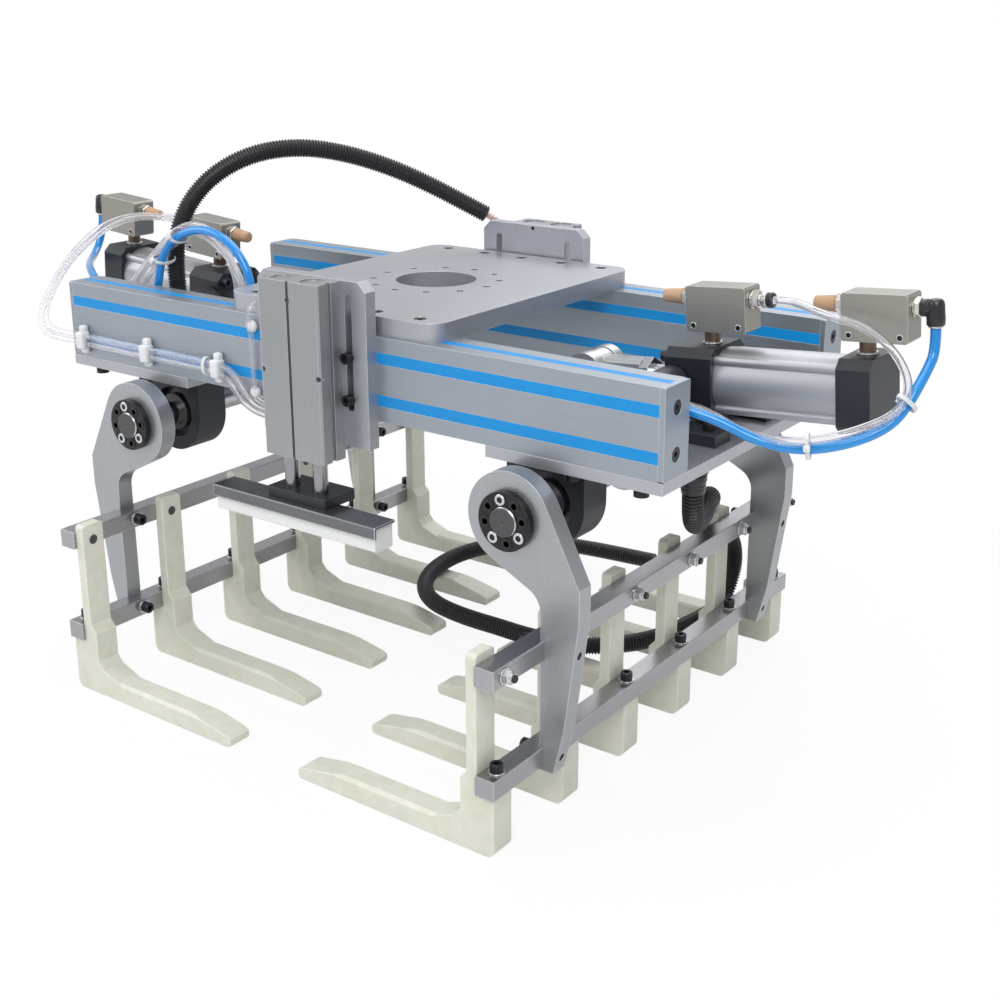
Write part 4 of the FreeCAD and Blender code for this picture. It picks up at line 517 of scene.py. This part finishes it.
tubeRoutes = {
    "right_clear_tube": [
        (424.8, 0, 27.88), (441, 0, 29.2), (462, -14, 30), (482, -28, 29), (505, -36, 27), (530, -40, 25),
        (553, -45, 17), (572, -49, 3), (583, -48, -16), (585, -51, -34), (576, -64, -49), (556, -81, -60),
        (530, -95, -70), (502, -103, -77), (474, -106, -77), (447, -102, -77), (421, -104, -66),
        (402, -109, -59), (384, -118, -56), (368, -122, -56), (350, -122, -56)],
    "right_blue_tube": [
        (587.05, 0, 24.6), (588.94, 0, 0.67), (588, -14, -14), (587, -31, -26), (584, -44, -40), (575, -56, -58),
        (557, -71, -71), (531, -85, -81), (500, -95, -87), (465, -106, -82), (432, -119, -65),
        (404, -129, -57), (382, -138, -49), (350, -138, -46)],
    "left_clear_tube": [
        (-425.1, 0, 27.9), (-447, 0, 29.6), (-465, -17, 32), (-474, -41, 33), (-480, -66, 28), (-485, -87, 18),
        (-489, -106, 6), (-488, -126, -6), (-484, -147, -20), (-478, -166, -35), (-472, -184, -52),
        (-465, -196, -69), (-453, -200, -80), (-435, -199.5, -83.5), (-412, frontTube, upperTube),
        (-370, frontTube, upperTube), (-180, frontTube, upperTube), (-143, frontTube, upperTube - 1),
        (-126, -199, -94), (-114, -199, -109), (-104, -194.8, -121.9), (-92, -186.1, -129.8),
        (-75, -178, -130), (-58, -178, -130)],
    "left_second_tube": [
        (-425.1, 9.5, 27.9), (-450, 9, 30), (-473, -10, 33), (-485, -36, 34), (-492, -64, 29), (-497, -88, 17),
        (-500, -108, 3), (-498, -129, -12), (-493, -151, -28), (-486, -173, -46), (-478, -191, -64),
        (-467, -201, -79), (-452, -203, -89), (-433, -200, -92), (-410, frontTube, lowerTube),
        (-370, frontTube, lowerTube), (-180, frontTube, lowerTube), (-150, frontTube, lowerTube - 1),
        (-135, -199, -102), (-123, -198, -117), (-111, -190, -131), (-98, -179, -138), (-80, -169, -136),
        (-70, -166.5, -130), (-58, -166.5, -130)],
    "left_blue_tube": [
        (-587.03, 0, 24.3), (-588.94, 0, 0.67), (-585, -12, -19), (-571, -33, -29), (-546, -58, -30),
        (-516, -83, -27), (-484, -107, -26), (-452, -126, -31), (-420, -136, -42), (-388, -138, -55),
        (-356, -138, -60), (-330, -137, -46), (-318, -137, -20), (-312, -137, 6), (-296, -137, 29),
        (-270, -137, 45), (-240, -137, 53), (-210, -137, 50), (-184, -137, 37), (-166, -137, 16),
        (-158, -137, -11), (-157, -137, -38), (-157, -137, -66)],
    "arch_clear_tube": [
        (-395, -126.5, -86), (-395, -126.5, -58), (-386, -126.5, -36), (-368, -126.5, -18), (-351, -126.5, -2),
        (-333, -126.5, 14), (-313, -126.5, 30), (-290, -126.5, 47), (-263, -126.5, 56), (-236, -126.5, 52),
        (-213, -126.5, 38), (-199, -126.5, 16), (-194, -126.5, -10), (-193, -126.5, -38), (-193, -126.5, -66)],
    "arch_second_tube": [
        (-382, -118, -86), (-382, -118, -58), (-374, -118, -38), (-358, -118, -20), (-341, -118, -3),
        (-322, -118, 13), (-302, -118, 29), (-280, -118, 44), (-256, -119, 50), (-232, -121, 44),
        (-212, -124, 29), (-197, -128, 8), (-186, -130, -14), (-182, -130, -40), (-181, -130, -66)],
    "arch_third_tube": [
        (-382, -136, -86), (-382, -136, -60), (-375, -136, -40), (-360, -135, -22), (-344, -134, -4),
        (-326, -133, 12), (-307, -131, 27), (-285, -129, 39), (-260, -128, 47), (-235, -129, 43),
        (-209, -131, 30), (-188, -132, 11), (-174, -133, -12), (-170, -133, -40), (-169, -133, -66)],
    "drop_tube": [
        (-101, -184, -8), (-101, -191, -8), (-102, -198, -14), (-102, -199.5, -26), (-101, -197.5, -44),
        (-101, -196.5, -68), (-101, -196.8, -90), (-100, -197.5, -104), (-97, -193, -115), (-90, -185, -120),
        (-80, -180, -118), (-70, -180, -117), (-58, -180, -117)]}
hoseSizes = {"radius": 0.011, "ribDepth": 0.0017, "pitch": 0.0036, "sides": 18}
tubeSizes = {
    "clear": {"radius": 0.004, "bore": 0.0026, "sides": 16, "finish": "clearTube"},
    "thin": {"radius": 0.003, "bore": 0.0018, "sides": 14, "finish": "clearTube"},
    "blue": {"radius": 0.005, "bore": 0.0, "sides": 16, "finish": "blueTube"}}

# white cable ties: along is the share of the tube's length, shift moves the loop over the bundle
tieSpots = {
    "right_blue_tube": [
        {"along": 0.29, "shift": (0.0, -0.0055, 0.001), "half": (0.0065, 0.0125), "head": 1},
        {"along": 0.60, "shift": (0.001, -0.004, 0.004), "half": (0.0062, 0.0115), "head": -1}],
    "left_blue_tube": [
        {"along": 0.60, "shift": (-0.003, 0.006, 0.002), "half": (0.0155, 0.0085), "head": 1},
        {"along": 0.672, "shift": (-0.001, 0.006, 0.002), "half": (0.0155, 0.0085), "head": 1}],
    "left_clear_tube": [
        {"along": 0.72, "shift": (0.0, 0.0, -0.0044), "half": (0.0052, 0.0094), "head": -1}]}
tieSizes = {"width": 0.0042, "thick": 0.0013, "head": (0.0062, 0.0052, 0.0056), "headEdge": 0.0008, "steps": 28,
            "band": ((0, -0.5), (0, 0.5), (1, 0.5), (1.25, 0), (1, -0.5))}


# a cable tie: an oval band round the bundle with its square ratchet head on one side
def makeTie(name, points, along, shift, half, head):
    middle = int(along * (len(points) - 1))
    ahead = (points[middle + 1] - points[middle - 1]).normalized()
    side = ahead.cross(Vector((0, 0, 1))).normalized()
    upward = side.cross(ahead).normalized()
    centre = points[middle] + Vector(shift)
    form = bmesh.new()
    rows = []
    for k in range(tieSizes["steps"]):
        turn = 2 * math.pi * k / tieSizes["steps"]
        out = side * math.cos(turn) * half[0] + upward * math.sin(turn) * half[1]
        skin = out.normalized() * tieSizes["thick"]
        row = [form.verts.new(centre + out + skin * deep + ahead * tieSizes["width"] * wide)
               for deep, wide in tieSizes["band"]]
        rows.append(row)
    for row, after in zip(rows, rows[1:] + rows[:1]):
        for k in range(5):
            form.faces.new((row[k], row[(k + 1) % 5], after[(k + 1) % 5], after[k]))
    wide, tall, deep = tieSizes["head"]
    place = Matrix.Translation(centre + side * (half[0] + tall * 0.4) * head)
    facing = Matrix((ahead, side, upward)).transposed().to_4x4()
    block = bmesh.ops.create_cube(form, size=1, matrix=place @ facing @ Matrix.Diagonal((wide, tall, deep, 1)))
    edges = {edge for vert in block["verts"] for edge in vert.link_edges}
    bmesh.ops.bevel(form, geom=list(edges), offset=tieSizes["headEdge"], segments=2, affect="EDGES", profile=0.6)
    bmesh.ops.recalc_face_normals(form, faces=form.faces)
    return pieceFrom(form, name, "tieNylon")


def pieceFrom(form, name, finish):
    data = bpy.data.meshes.new(name)
    form.to_mesh(data)
    form.free()
    data.materials.append(finishes[finish])
    for face in data.polygons:
        face.use_smooth = True
    return addObject(name, data)


cordPaths = {}
for name, route in hoseRoutes.items():
    line, points, length = routeLine(name, route)
    hose = applyTree(line, name + "_ribs", ribTree, {
        "Radius": hoseSizes["radius"], "Depth": hoseSizes["ribDepth"], "Pitch": hoseSizes["pitch"],
        "Sides": hoseSizes["sides"], "Smooth": False, "Finish": finishes["hosePlastic"]})
    cordPaths[name] = (hose, points, length)
    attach(hose, "frame")
    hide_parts(name)


# kind of tube, the cylinder that its start tilts with, and the y at which it is held by the frame
tubeRides = {
    "right_clear_tube": ("clear", "right_cylinder", -118), "right_blue_tube": ("blue", "right_cylinder", -130),
    "left_clear_tube": ("clear", "left_cylinder", -130), "left_blue_tube": ("blue", "left_cylinder", -130),
    "left_second_tube": ("clear", "left_cylinder", -130), "arch_clear_tube": ("clear", None, None),
    "arch_second_tube": ("clear", None, None), "arch_third_tube": ("clear", None, None),
    "drop_tube": ("thin", None, None)}


def rideTube(piece, cylinder):
    if cylinder:
        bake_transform(piece)
    else:
        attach(piece, "frame")


def airTube(name, kind, cylinder, heldY):
    sizes = tubeSizes[kind]
    line, points, length = routeLine(name, tubeRoutes[name])
    tube = applyTree(line, name + "_wall", tubeTree, {
        "Radius": sizes["radius"], "Bore": sizes["bore"], "Sides": sizes["sides"], "Smooth": True,
        "Finish": finishes[sizes["finish"]]})
    rideTube(tube, cylinder)
    if name in nodes:
        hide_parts(name)
    ties = []
    for spot in tieSpots.get(name, ()):
        tie = makeTie(f"{name}_tie_{len(ties)}", points, **spot)
        rideTube(tie, cylinder)
        ties.append(tie)


for name, ride in tubeRides.items():
    airTube(name, *ride)

# the hoses are open sleeves: the tubes inside show at each far end
coreSizes = {"left_hose": {"radius": 0.0042, "reach": 0.022, "finish": "pinkTube", "lean": (0.35, 0.25, -1.0)},
             "right_hose": {"radius": 0.0036, "reach": 0.020, "finish": "blackPlastic", "lean": (1.0, 0.1, -0.1)}}
stubSizes = {"tuck": 0.012, "straight": 0.6, "pull": 0.7, "bent": 0.7, "bore": 0.6, "sides": 14}
for name, (hose, points, length) in cordPaths.items():
    core = coreSizes[name]
    ahead = (points[-1] - points[-2]).normalized()
    tip = points[-1] + ahead * core["reach"] * stubSizes["straight"]
    bent = (ahead + Vector(core["lean"]).normalized() * stubSizes["pull"]).normalized()
    stub = [points[-1] - ahead * stubSizes["tuck"], points[-1], tip, tip + bent * core["reach"] * stubSizes["bent"]]
    line, spots, reach = routeLine(name + "_core", [tuple(1000 * c for c in p) for p in stub])
    stubTube = applyTree(line, name + "_core", tubeTree, {
        "Radius": core["radius"], "Bore": core["radius"] * stubSizes["bore"], "Sides": stubSizes["sides"],
        "Smooth": True, "Finish": finishes[core["finish"]]})
    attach(stubTube, "frame")
print("cords laid")


# --- turned pieces: rings of (radius or half across flats, height, corners if any) along their own axis
def turnedMesh(name, rings, sides=24):
    spots, faces = [], []
    for radius, height, *corners in rings:
        for k in range(sides):
            turn = 2 * math.pi * k / sides
            reach = radius
            if corners:
                step = 2 * math.pi / corners[0]
                reach = radius / math.cos((turn + step / 2) % step - step / 2)
            spots.append((reach * math.cos(turn) / 1000, reach * math.sin(turn) / 1000, height / 1000))
    for row in range(len(rings) - 1):
        for k in range(sides):
            first, second = row * sides + k, row * sides + (k + 1) % sides
            faces.append((first, second, second + sides, first + sides))
    faces.append(tuple(range(sides - 1, -1, -1)))
    faces.append(tuple(range((len(rings) - 1) * sides, len(rings) * sides)))
    data = bpy.data.meshes.new(name)
    data.from_pydata(spots, [], faces)
    return data


# places are (point, axis) pairs in millimetres; the piece's own height runs along the axis
def repeatPiece(name, rings, places, finish, body, replaced=(), sides=24, smooth=False):
    form = addObject(name + "Form", turnedMesh(name + "Form", rings, sides))
    host = bpy.data.meshes.new(name + "Places")
    host.from_pydata([tuple(c / 1000 for c in point) for point, axis in places], [], [])
    turns = host.attributes.new("turn", "FLOAT_VECTOR", "POINT")
    for k, (point, axis) in enumerate(places):
        turns.data[k].vector = Vector(axis).to_track_quat("Z", "Y").to_euler()
    piece = applyTree(host, name, repeatTree, {
        "Piece": form, "Scale": 1.0, "Smooth": smooth, "Finish": finishes[finish]})
    bpy.data.objects.remove(form)
    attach(piece, body)
    if replaced:
        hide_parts(*replaced)
    return piece


def opposite(places):
    return [((-x, -y, z), (-a, -b, c)) for (x, y, z), (a, b, c) in places]


clawScrews = {
    "rows": (-295, -177, -59, 59, 177, 295), "bladeFace": 278, "barInner": 290, "barOuter": 313,
    "heelX": 303, "lowTop": -395, "levels": (-290.5, -405.5), "armRows": (-220, 220)}
screwRings = {
    "washer": [(4.3, 0), (8.2, 0), (8.6, 0.35), (8.6, 1.3), (8.2, 1.6), (4.3, 1.6)],
    "capHead": [(6.2, 1.6), (6.6, 2.0), (6.6, 9.2), (6.0, 9.9), (3.5, 9.9), (3.3, 9.7, 6), (3.3, 5.4, 6)],
    "flushHead": [(5.2, -0.4), (5.6, 0.25), (5.2, 0.55), (2.9, 0.55), (2.8, 0.4, 6), (2.8, -0.2, 6)],
    "nut": [(6.2, 1.6, 6), (6.5, 2.0, 6), (6.5, 7.4, 6), (5.9, 8.2, 6), (5.6, 8.3), (5.5, 9.8),
            (4.6, 10.6), (4.1, 10.6)],
    "thread": [(3.9, 9.8), (3.9, 10.6), (3.5, 11.0), (3.9, 11.4), (3.5, 11.9), (3.9, 12.4),
               (3.4, 13.2)]}
level = clawScrews["levels"][0]
heels = [((clawScrews["heelX"], y, clawScrews["lowTop"]), (0, 0, 1)) for y in clawScrews["rows"]]
blades = [((clawScrews["bladeFace"], y, level), (-1, 0, 0)) for y in clawScrews["rows"]]
backs = [((clawScrews["barOuter"], y, level), (1, 0, 0)) for y in clawScrews["rows"]]
armSpots = [((clawScrews["barInner"], y, z), (-1, 0, 0)) for y in clawScrews["armRows"] for z in clawScrews["levels"]]
screwPlaces = {
    "heel_screw_heads": ("capHead", "blackOxide", "black_screws", heels),
    "heel_screw_washers": ("washer", "zincSteel", "bright_steel", heels),
    "blade_screw_heads": ("flushHead", "darkSteel", "black_screws", blades),
    "lock_nuts": ("nut", "zincSteel", "bright_steel", backs),
    "lock_nut_washers": ("washer", "zincSteel", "bright_steel", backs),
    "lock_nut_threads": ("thread", "blackOxide", "black_screws", backs),
    "arm_screw_heads": ("capHead", "blackOxide", "black_screws", armSpots),
    "arm_screw_washers": ("washer", "zincSteel", "bright_steel", armSpots)}
for side in ("right", "left"):
    for title, (rings, finish, slot, places) in screwPlaces.items():
        repeatPiece(f"{side}_{title}", screwRings[rings], places if side == "right" else opposite(places), finish,
                    f"{side}_claw", (f"{side}_claw_bolts",))
print("claw screws set")

# locking hubs: clamping screws round the flange, three of them left bright with a black hex lining in their sockets
# that is painted shade, and the shaft's end face
hubSizes = {"shaft": (270, -165), "face": 238, "circle": 22, "turn": 10, "count": 8, "bright": (2, 5, 7),
            "shaftFace": 240}
hubRings = {
    "clampScrew": [(5.0, -0.4), (5.8, 0.3), (5.8, 1.1), (5.2, 1.6), (3.3, 1.6), (3.1, 1.4, 6),
                   (3.1, -0.3, 6)],
    "darkScrew": [(5.4, -0.3), (6.0, 0.2), (6.0, 0.6), (5.4, 1.0), (3.4, 1.0), (3.2, 0.8, 6),
                  (3.2, -0.3, 6)],
    # socket: a black hex lining inside the bright screws' sockets, painted shade
    "socket": [(2.6, -0.3, 6), (2.9, 0.3, 6), (2.8, 0.9, 6)],
    "shaftEnd": [(13.6, -0.3), (14.6, 0.2), (14.6, 0.7), (13.8, 1.2), (2.4, 1.2), (0.8, 0.2)]}
for side, sign in (("right", 1), ("left", -1)):
    dark, bright, ends = [], [], []
    for face in (-1, 1):
        shaftX = hubSizes["shaft"][0] * sign
        ends.append(((shaftX, hubSizes["shaftFace"] * face, hubSizes["shaft"][1]), (0, face, 0)))
        for k in range(hubSizes["count"]):
            turn = math.radians(hubSizes["turn"] + 360 / hubSizes["count"] * k)
            spot = (shaftX - face * hubSizes["circle"] * math.cos(turn), hubSizes["face"] * face,
                    hubSizes["shaft"][1] + hubSizes["circle"] * math.sin(turn))
            (bright if k in hubSizes["bright"] else dark).append((spot, (0, face, 0)))
    body = f"{side}_claw"
    repeatPiece(f"{side}_hub_clamp_screws", hubRings["clampScrew"], bright, "zincSteel", body)
    repeatPiece(f"{side}_hub_dark_screws", hubRings["darkScrew"], dark, "blackOxide", body)
    repeatPiece(f"{side}_hub_screw_sockets", hubRings["socket"], bright, "blackOxide", body)
    repeatPiece(f"{side}_shaft_end_faces", hubRings["shaftEnd"], ends, "darkSteel", body, sides=36)
print("hubs dressed")

# valve fittings, placed along the tilted cylinder: distance from the clevis pin, sideways, height
cylinderFrame = {"pin": (220, 0, -72), "slope": 4.5, "port": 83.5, "valves": ((122, 188), (287.5, 353.5)),
                 "middles": (142.5, 308), "capTop": 37, "halfWidth": 16.5, "holeInset": 8, "holeHeight": 57,
                 "bend": 373.5}
slope = math.radians(cylinderFrame["slope"])
alongAxis = (math.cos(slope), 0, math.sin(slope))
upAxis = (-math.sin(slope), 0, math.cos(slope))


def onCylinder(along, sideways, height):
    pin = cylinderFrame["pin"]
    return (pin[0] + along * alongAxis[0] + height * upAxis[0], sideways,
            pin[2] + along * alongAxis[2] + height * upAxis[2])


def backwards(axis):
    return tuple(-c for c in axis)


fittingRings = {
    "hexNut": [(7.6, 0), (9.1, 0.3), (9.1, 1.2), (8.3, 1.5, 6), (8.7, 2.1, 6), (8.7, 8.6, 6), (8.1, 9.4, 6),
               (6.9, 9.5), (6.9, 10.6)],
    "sinter": [(6.4, 10.2), (8.1, 10.5), (8.3, 11.4), (7.8, 12.0), (7.5, 12.8), (7.9, 13.4),
               (6.9, 30.4), (6.2, 32.2), (4.6, 32.9)],
    "pushBody": [(7.8, 0), (9.2, 0.4), (9.2, 2.0), (8.0, 2.4), (8.2, 3.0, 6), (8.6, 3.6, 6), (8.6, 8.4, 6),
                 (8.0, 9.0, 6), (5.9, 9.4), (5.9, 11.6), (7.6, 12.0), (7.9, 12.8), (7.9, 16.4),
                 (7.2, 17.2), (5.0, 17.2)],
    "pushRing": [(5.2, 16.6), (7.0, 17.4), (7.7, 18.2), (7.7, 22.4), (6.9, 23.6), (4.4, 23.8),
                 (4.4, 21)],
    "elbowNut": [(7.8, 0), (9.2, 0.3), (9.2, 1.4), (8.4, 1.6, 6), (8.8, 2.2, 6), (8.8, 6.2, 6), (8.0, 6.9, 6)],
    "elbowStem": [(7.0, 6.4), (8.2, 7.2), (8.4, 12.4), (7.4, 13.2), (7.2, 20)],
    "elbowSpout": [(5.2, -15.8), (7.6, -16), (8.5, -15.2), (8.7, -9), (8.2, -3), (8.0, 3.4),
                   (7.2, 6.6), (5.4, 8.4), (2.6, 9.0)],
    "elbowRing": [(5.1, -17.6), (6.4, -17.8), (6.9, -17.2), (6.9, -15.6), (5.2, -15.4)],
    "nippleSleeve": [(7.2, 1.6), (8.0, 2.2), (8.0, 12.6), (7.3, 13.6)],
    "nippleWasher": [(7.3, -0.2), (10.2, 0.1), (10.4, 0.7), (10.2, 1.9), (9.6, 2.3), (7.3, 2.3)],
    "holeRim": [(2.6, -0.3), (3.5, 0.1), (3.5, 0.35), (3.1, 0.55), (2.7, 0.5), (2.45, -0.3),
                (2.4, -2.5)],
    # the black disc just inside each valve hole's mouth is painted shade
    "holeCore": [(2.2, -0.35), (2.5, 0.0), (2.4, 0.25)]}
port = cylinderFrame["port"]
(frontStart, frontEnd), (rearStart, rearEnd) = cylinderFrame["valves"]
silenced = [(onCylinder(start, 0, port), backwards(alongAxis)) for start in (frontStart, rearStart)]
frontPort = [(onCylinder(frontEnd, 0, port), alongAxis)]
rearPort = [(onCylinder(rearEnd, 0, port), alongAxis)]
bendPlace = [(onCylinder(cylinderFrame["bend"], 0, port), upAxis)]
capSpots = [(onCylinder(middle, 0, cylinderFrame["capTop"]), upAxis) for middle in cylinderFrame["middles"]]
holeSpots = [(onCylinder(along, cylinderFrame["halfWidth"] * face, cylinderFrame["holeHeight"]), (0, face, 0))
             for start, end in cylinderFrame["valves"]
             for along in (start + cylinderFrame["holeInset"], end - cylinderFrame["holeInset"]) for face in (-1, 1)]
fittingPlaces = {
    "silencer_nuts": ("hexNut", "brightNickel", "nickel_plate", silenced),
    "silencers": ("sinter", "sinteredBronze", "nickel_plate", silenced),
    "push_fitting": ("pushBody", "brightNickel", "nickel_plate", frontPort),
    "push_fitting_ring": ("pushRing", "blackPlastic", "black_plastic", frontPort),
    "elbow_nut": ("elbowNut", "brightNickel", "nickel_plate", rearPort),
    "elbow_stem": ("elbowStem", "blackPlastic", "black_plastic", rearPort),
    "elbow_spout": ("elbowSpout", "blackPlastic", "black_plastic", bendPlace),
    "elbow_ring": ("elbowRing", "brightNickel", "nickel_plate", bendPlace)}
trimPlaces = {
    "nipple_sleeves": ("nippleSleeve", "brownBrass", "nickel_plate", capSpots),
    "nipple_washers": ("nippleWasher", "zincSteel", "bright_steel", capSpots),
    "valve_hole_rims": ("holeRim", "zincSteel", "bright_steel", holeSpots),
    # black discs in the valve holes: painted shade
    "valve_hole_cores": ("holeCore", "blackOxide", "black_screws", holeSpots)}
for side in ("right", "left"):
    for title, (rings, finish, slot, places) in (*fittingPlaces.items(), *trimPlaces.items()):
        replaced = (f"{side}_valve_fittings",) if title in fittingPlaces else ()
        repeatPiece(f"{side}_{title}", fittingRings[rings], places if side == "right" else opposite(places), finish,
                    f"{side}_cylinder", replaced, smooth=title in ("silencers", "elbow_spout"))
branchRings = [(3.6, 0), (5.6, 0.4), (5.8, 1.2), (5.8, 11), (5.0, 11.8), (4.1, 12), (4.1, 9)]
branchPlace = [((-413.2, 9.5, 27.0), (-math.cos(slope), 0, math.sin(slope)))]
repeatPiece("left_branch_port", branchRings, branchPlace, "blackPlastic", "left_cylinder")
print("valve fittings set")

# hose glands with a tapering boot, tube ports behind the front bracket and on the beam
glandRings = [(14.4, 0), (14.8, 0.6), (14.8, 2.0), (12.7, 2.6, 6), (13.1, 3.4, 6), (13.1, 8.0, 6),
              (12.4, 8.8, 6), (12.1, 9.2), (13.3, 10.0), (13.3, 15.0), (12.9, 16.4), (12.3, 19),
              (12.7, 20), (12.0, 23), (12.4, 24), (11.7, 28), (11.4, 29)]
glandPlaces = [((-315, -110, -110), (0, 0, 1)), ((394, -94, -122), (0, 0, -1))]
repeatPiece("gland_boots", glandRings, glandPlaces, "blackPlastic", "frame", ("hose_glands",),
            sides=30)
portRings = [(5.4, 0), (6.0, 0.5), (6.0, 2.6), (5.2, 3.0), (5.2, 4.4), (6.2, 5.0), (6.2, 11.4), (5.4, 12)]
portPlaces = [
    ((-181, -130, -78), (0, 0, 1)), ((-169, -133, -78), (0, 0, 1)), ((-382, -118, -110), (0, 0, 1)),
    ((-382, -136, -110), (0, 0, 1)), ((-382, -118, -98), (0, 0, 1)), ((-382, -136, -98), (0, 0, 1)),
    ((-46, -166.5, -130), (-1, 0, 0)), ((-52, -166.5, -130), (0, -1, 0)), ((-46, -180, -117), (-1, 0, 0)),
    ((-52, -180, -117), (0, -1, 0))]
repeatPiece("arch_tube_ports", portRings, portPlaces, "blackPlastic", "frame")
beamPortRings = [(5.0, 0, 6), (5.4, 0.6, 6), (5.4, 4.6, 6), (4.2, 5.0), (4.2, 6.4), (5.2, 7.0), (5.2, 17.6),
                 (4.4, 18.6)]
beamPortPlace = [((-101, -180, -20), (0, 0, 1))]
repeatPiece("beam_tube_port", beamPortRings, beamPortPlace, "blackPlastic", "frame")


# white saddles on the beam's face; parts: middle height, height, and shares of the length and of the depth
saddleSizes = {"spots": (-390, -275, -156), "length": 13, "face": -192.5, "depth": 13.5, "edge": 0.0028,
               "parts": ((-88, 21, 1, 1), (-75.5, 11, 0.72, 0.66), (-100, 9, 0.8, 0.6))}


def makeSaddles():
    form = bmesh.new()
    for x in saddleSizes["spots"]:
        for centreZ, tall, lengthShare, depthShare in saddleSizes["parts"]:
            wide, proud = saddleSizes["length"] * lengthShare, saddleSizes["depth"] * depthShare
            place = Matrix.Translation((x / 1000, (saddleSizes["face"] - proud / 2) / 1000, centreZ / 1000))
            size = Matrix.Diagonal((wide / 1000, proud / 1000, tall / 1000, 1))
            block = bmesh.ops.create_cube(form, size=1, matrix=place @ size)
            edges = {edge for vert in block["verts"] for edge in vert.link_edges}
            bmesh.ops.bevel(form, geom=list(edges), offset=saddleSizes["edge"], segments=4, affect="EDGES",
                            profile=0.5)
    bmesh.ops.recalc_face_normals(form, faces=form.faces)
    return pieceFrom(form, "tube_saddles", "tieNylon")


saddles = makeSaddles()
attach(saddles, "frame")
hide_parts("tube_clips")
clipRings = [(3.4, 0), (6.2, 0.3), (6.8, 1.6), (6.6, 3.6), (5.2, 5.6), (3.0, 6.6)]
clipPlaces = [((-101, saddleSizes["face"], z), (0, -1, 0)) for z in (-33, -107)]
repeatPiece("drop_tube_clips", clipRings, clipPlaces, "tieNylon", "frame", smooth=True)
print("clips and ports set")

# --- floor, light and background: the camera sees white directly and through clear tubes, metal only a part of it
def seenShare(tree, reflected):
    rays = addNode(tree, "ShaderNodeLightPath").outputs
    mirrored = mathNode(tree, "MULTIPLY", rays["Is Glossy Ray"], reflected)
    through = mathNode(tree, "MAXIMUM", rays["Is Transmission Ray"], mirrored)
    return mathNode(tree, "MAXIMUM", rays["Is Camera Ray"], through)


reflectedShare = 0.35
lamps = {
    "key": {"place": (1.6, -2.2, 2.4), "size": 2.2, "power": 62},
    "fill": {"place": (-2.6, -1.8, 1.6), "size": 2.6, "power": 36},
    "back": {"place": (-0.6, 2.6, 2.2), "size": 2.4, "power": 34},
    "top": {"place": (0.0, 0.0, 2.8), "size": 2.6, "power": 34}}
lampTarget = (0, 0, -0.2)
for name, lamp in lamps.items():
    light = bpy.data.lights.new(name + "Lamp", "AREA")
    light.shape = "DISK"
    light.size = lamp["size"]
    light.energy = lamp["power"]
    holder = addObject(name + "Lamp", light)
    holder.location = lamp["place"]
    holder.rotation_euler = (Vector(lampTarget) - Vector(lamp["place"])).to_track_quat("-Z", "Y").to_euler()

world = bpy.data.worlds.new("studio")
world.use_nodes = True
bpy.context.scene.world = world
worldTree = world.node_tree
worldTree.nodes.clear()
skyOut = addNode(worldTree, "ShaderNodeOutputWorld")
soft = addNode(worldTree, "ShaderNodeBackground", {"Color": (0.95, 0.97, 1.0, 1), "Strength": 0.45})
white = addNode(worldTree, "ShaderNodeBackground", {"Color": (1, 1, 1, 1), "Strength": 1.0})
blendSky = addNode(worldTree, "ShaderNodeMixShader")
worldTree.links.new(seenShare(worldTree, reflectedShare), blendSky.inputs[0])
worldTree.links.new(soft.outputs[0], blendSky.inputs[1])
worldTree.links.new(white.outputs[0], blendSky.inputs[2])
worldTree.links.new(blendSky.outputs[0], skyOut.inputs["Surface"])

floorSizes = {"halfWidth": 6.0, "drop": 0.0006, "shadowReach": (0.55, 1.15), "nearShare": 0.90, "roughness": 0.9}
floorMesh = bpy.data.meshes.new("studioFloor")
floorHeight = cadBox[0][2] - floorSizes["drop"]
half = floorSizes["halfWidth"]
floorMesh.from_pydata([(-half, -half, floorHeight), (half, -half, floorHeight), (half, half, floorHeight),
                       (-half, half, floorHeight)], [], [(0, 1, 2, 3)])
addObject("studioFloor", floorMesh)


# the floor shows white to the camera and keeps only the object's soft shadow
def makeFloorPaint():
    material = bpy.data.materials.new("floorPaint")
    material.use_nodes = True
    tree = material.node_tree
    links = tree.links
    shader = tree.nodes["Principled BSDF"]
    shader.inputs["Roughness"].default_value = floorSizes["roughness"]
    shader.inputs["Specular IOR Level"].default_value = 0.0
    place = addNode(tree, "ShaderNodeTexCoord")
    cloud = addNode(tree, "ShaderNodeTexNoise", {"Scale": 1.5})
    links.new(place.outputs["Object"], cloud.inputs["Vector"])
    tones = addNode(tree, "ShaderNodeMix", {"A": (0.86, 0.86, 0.86, 1), "B": (0.90, 0.90, 0.90, 1)}, data_type="RGBA")
    links.new(cloud.outputs["Fac"], tones.inputs["Factor"])
    links.new(tones.outputs["Result"], shader.inputs["Base Color"])
    glow = addNode(tree, "ShaderNodeEmission", {"Strength": 1.0})
    blendFloor = addNode(tree, "ShaderNodeMixShader")
    apart = addNode(tree, "ShaderNodeVectorMath", operation="LENGTH")
    links.new(place.outputs["Object"], apart.inputs[0])
    near, far = floorSizes["shadowReach"]
    fade = addNode(tree, "ShaderNodeMapRange", {"From Min": near, "From Max": far, "To Min": floorSizes["nearShare"],
                                                "To Max": 1.0}, interpolation_type="SMOOTHSTEP")
    links.new(apart.outputs["Value"], fade.inputs["Value"])
    share = mathNode(tree, "MULTIPLY", seenShare(tree, reflectedShare), fade.outputs["Result"])
    links.new(share, blendFloor.inputs[0])
    links.new(shader.outputs[0], blendFloor.inputs[1])
    links.new(glow.outputs[0], blendFloor.inputs[2])
    links.new(blendFloor.outputs[0], tree.nodes["Material Output"].inputs["Surface"])
    return material


floorMesh.materials.append(makeFloorPaint())
print("studio ready")
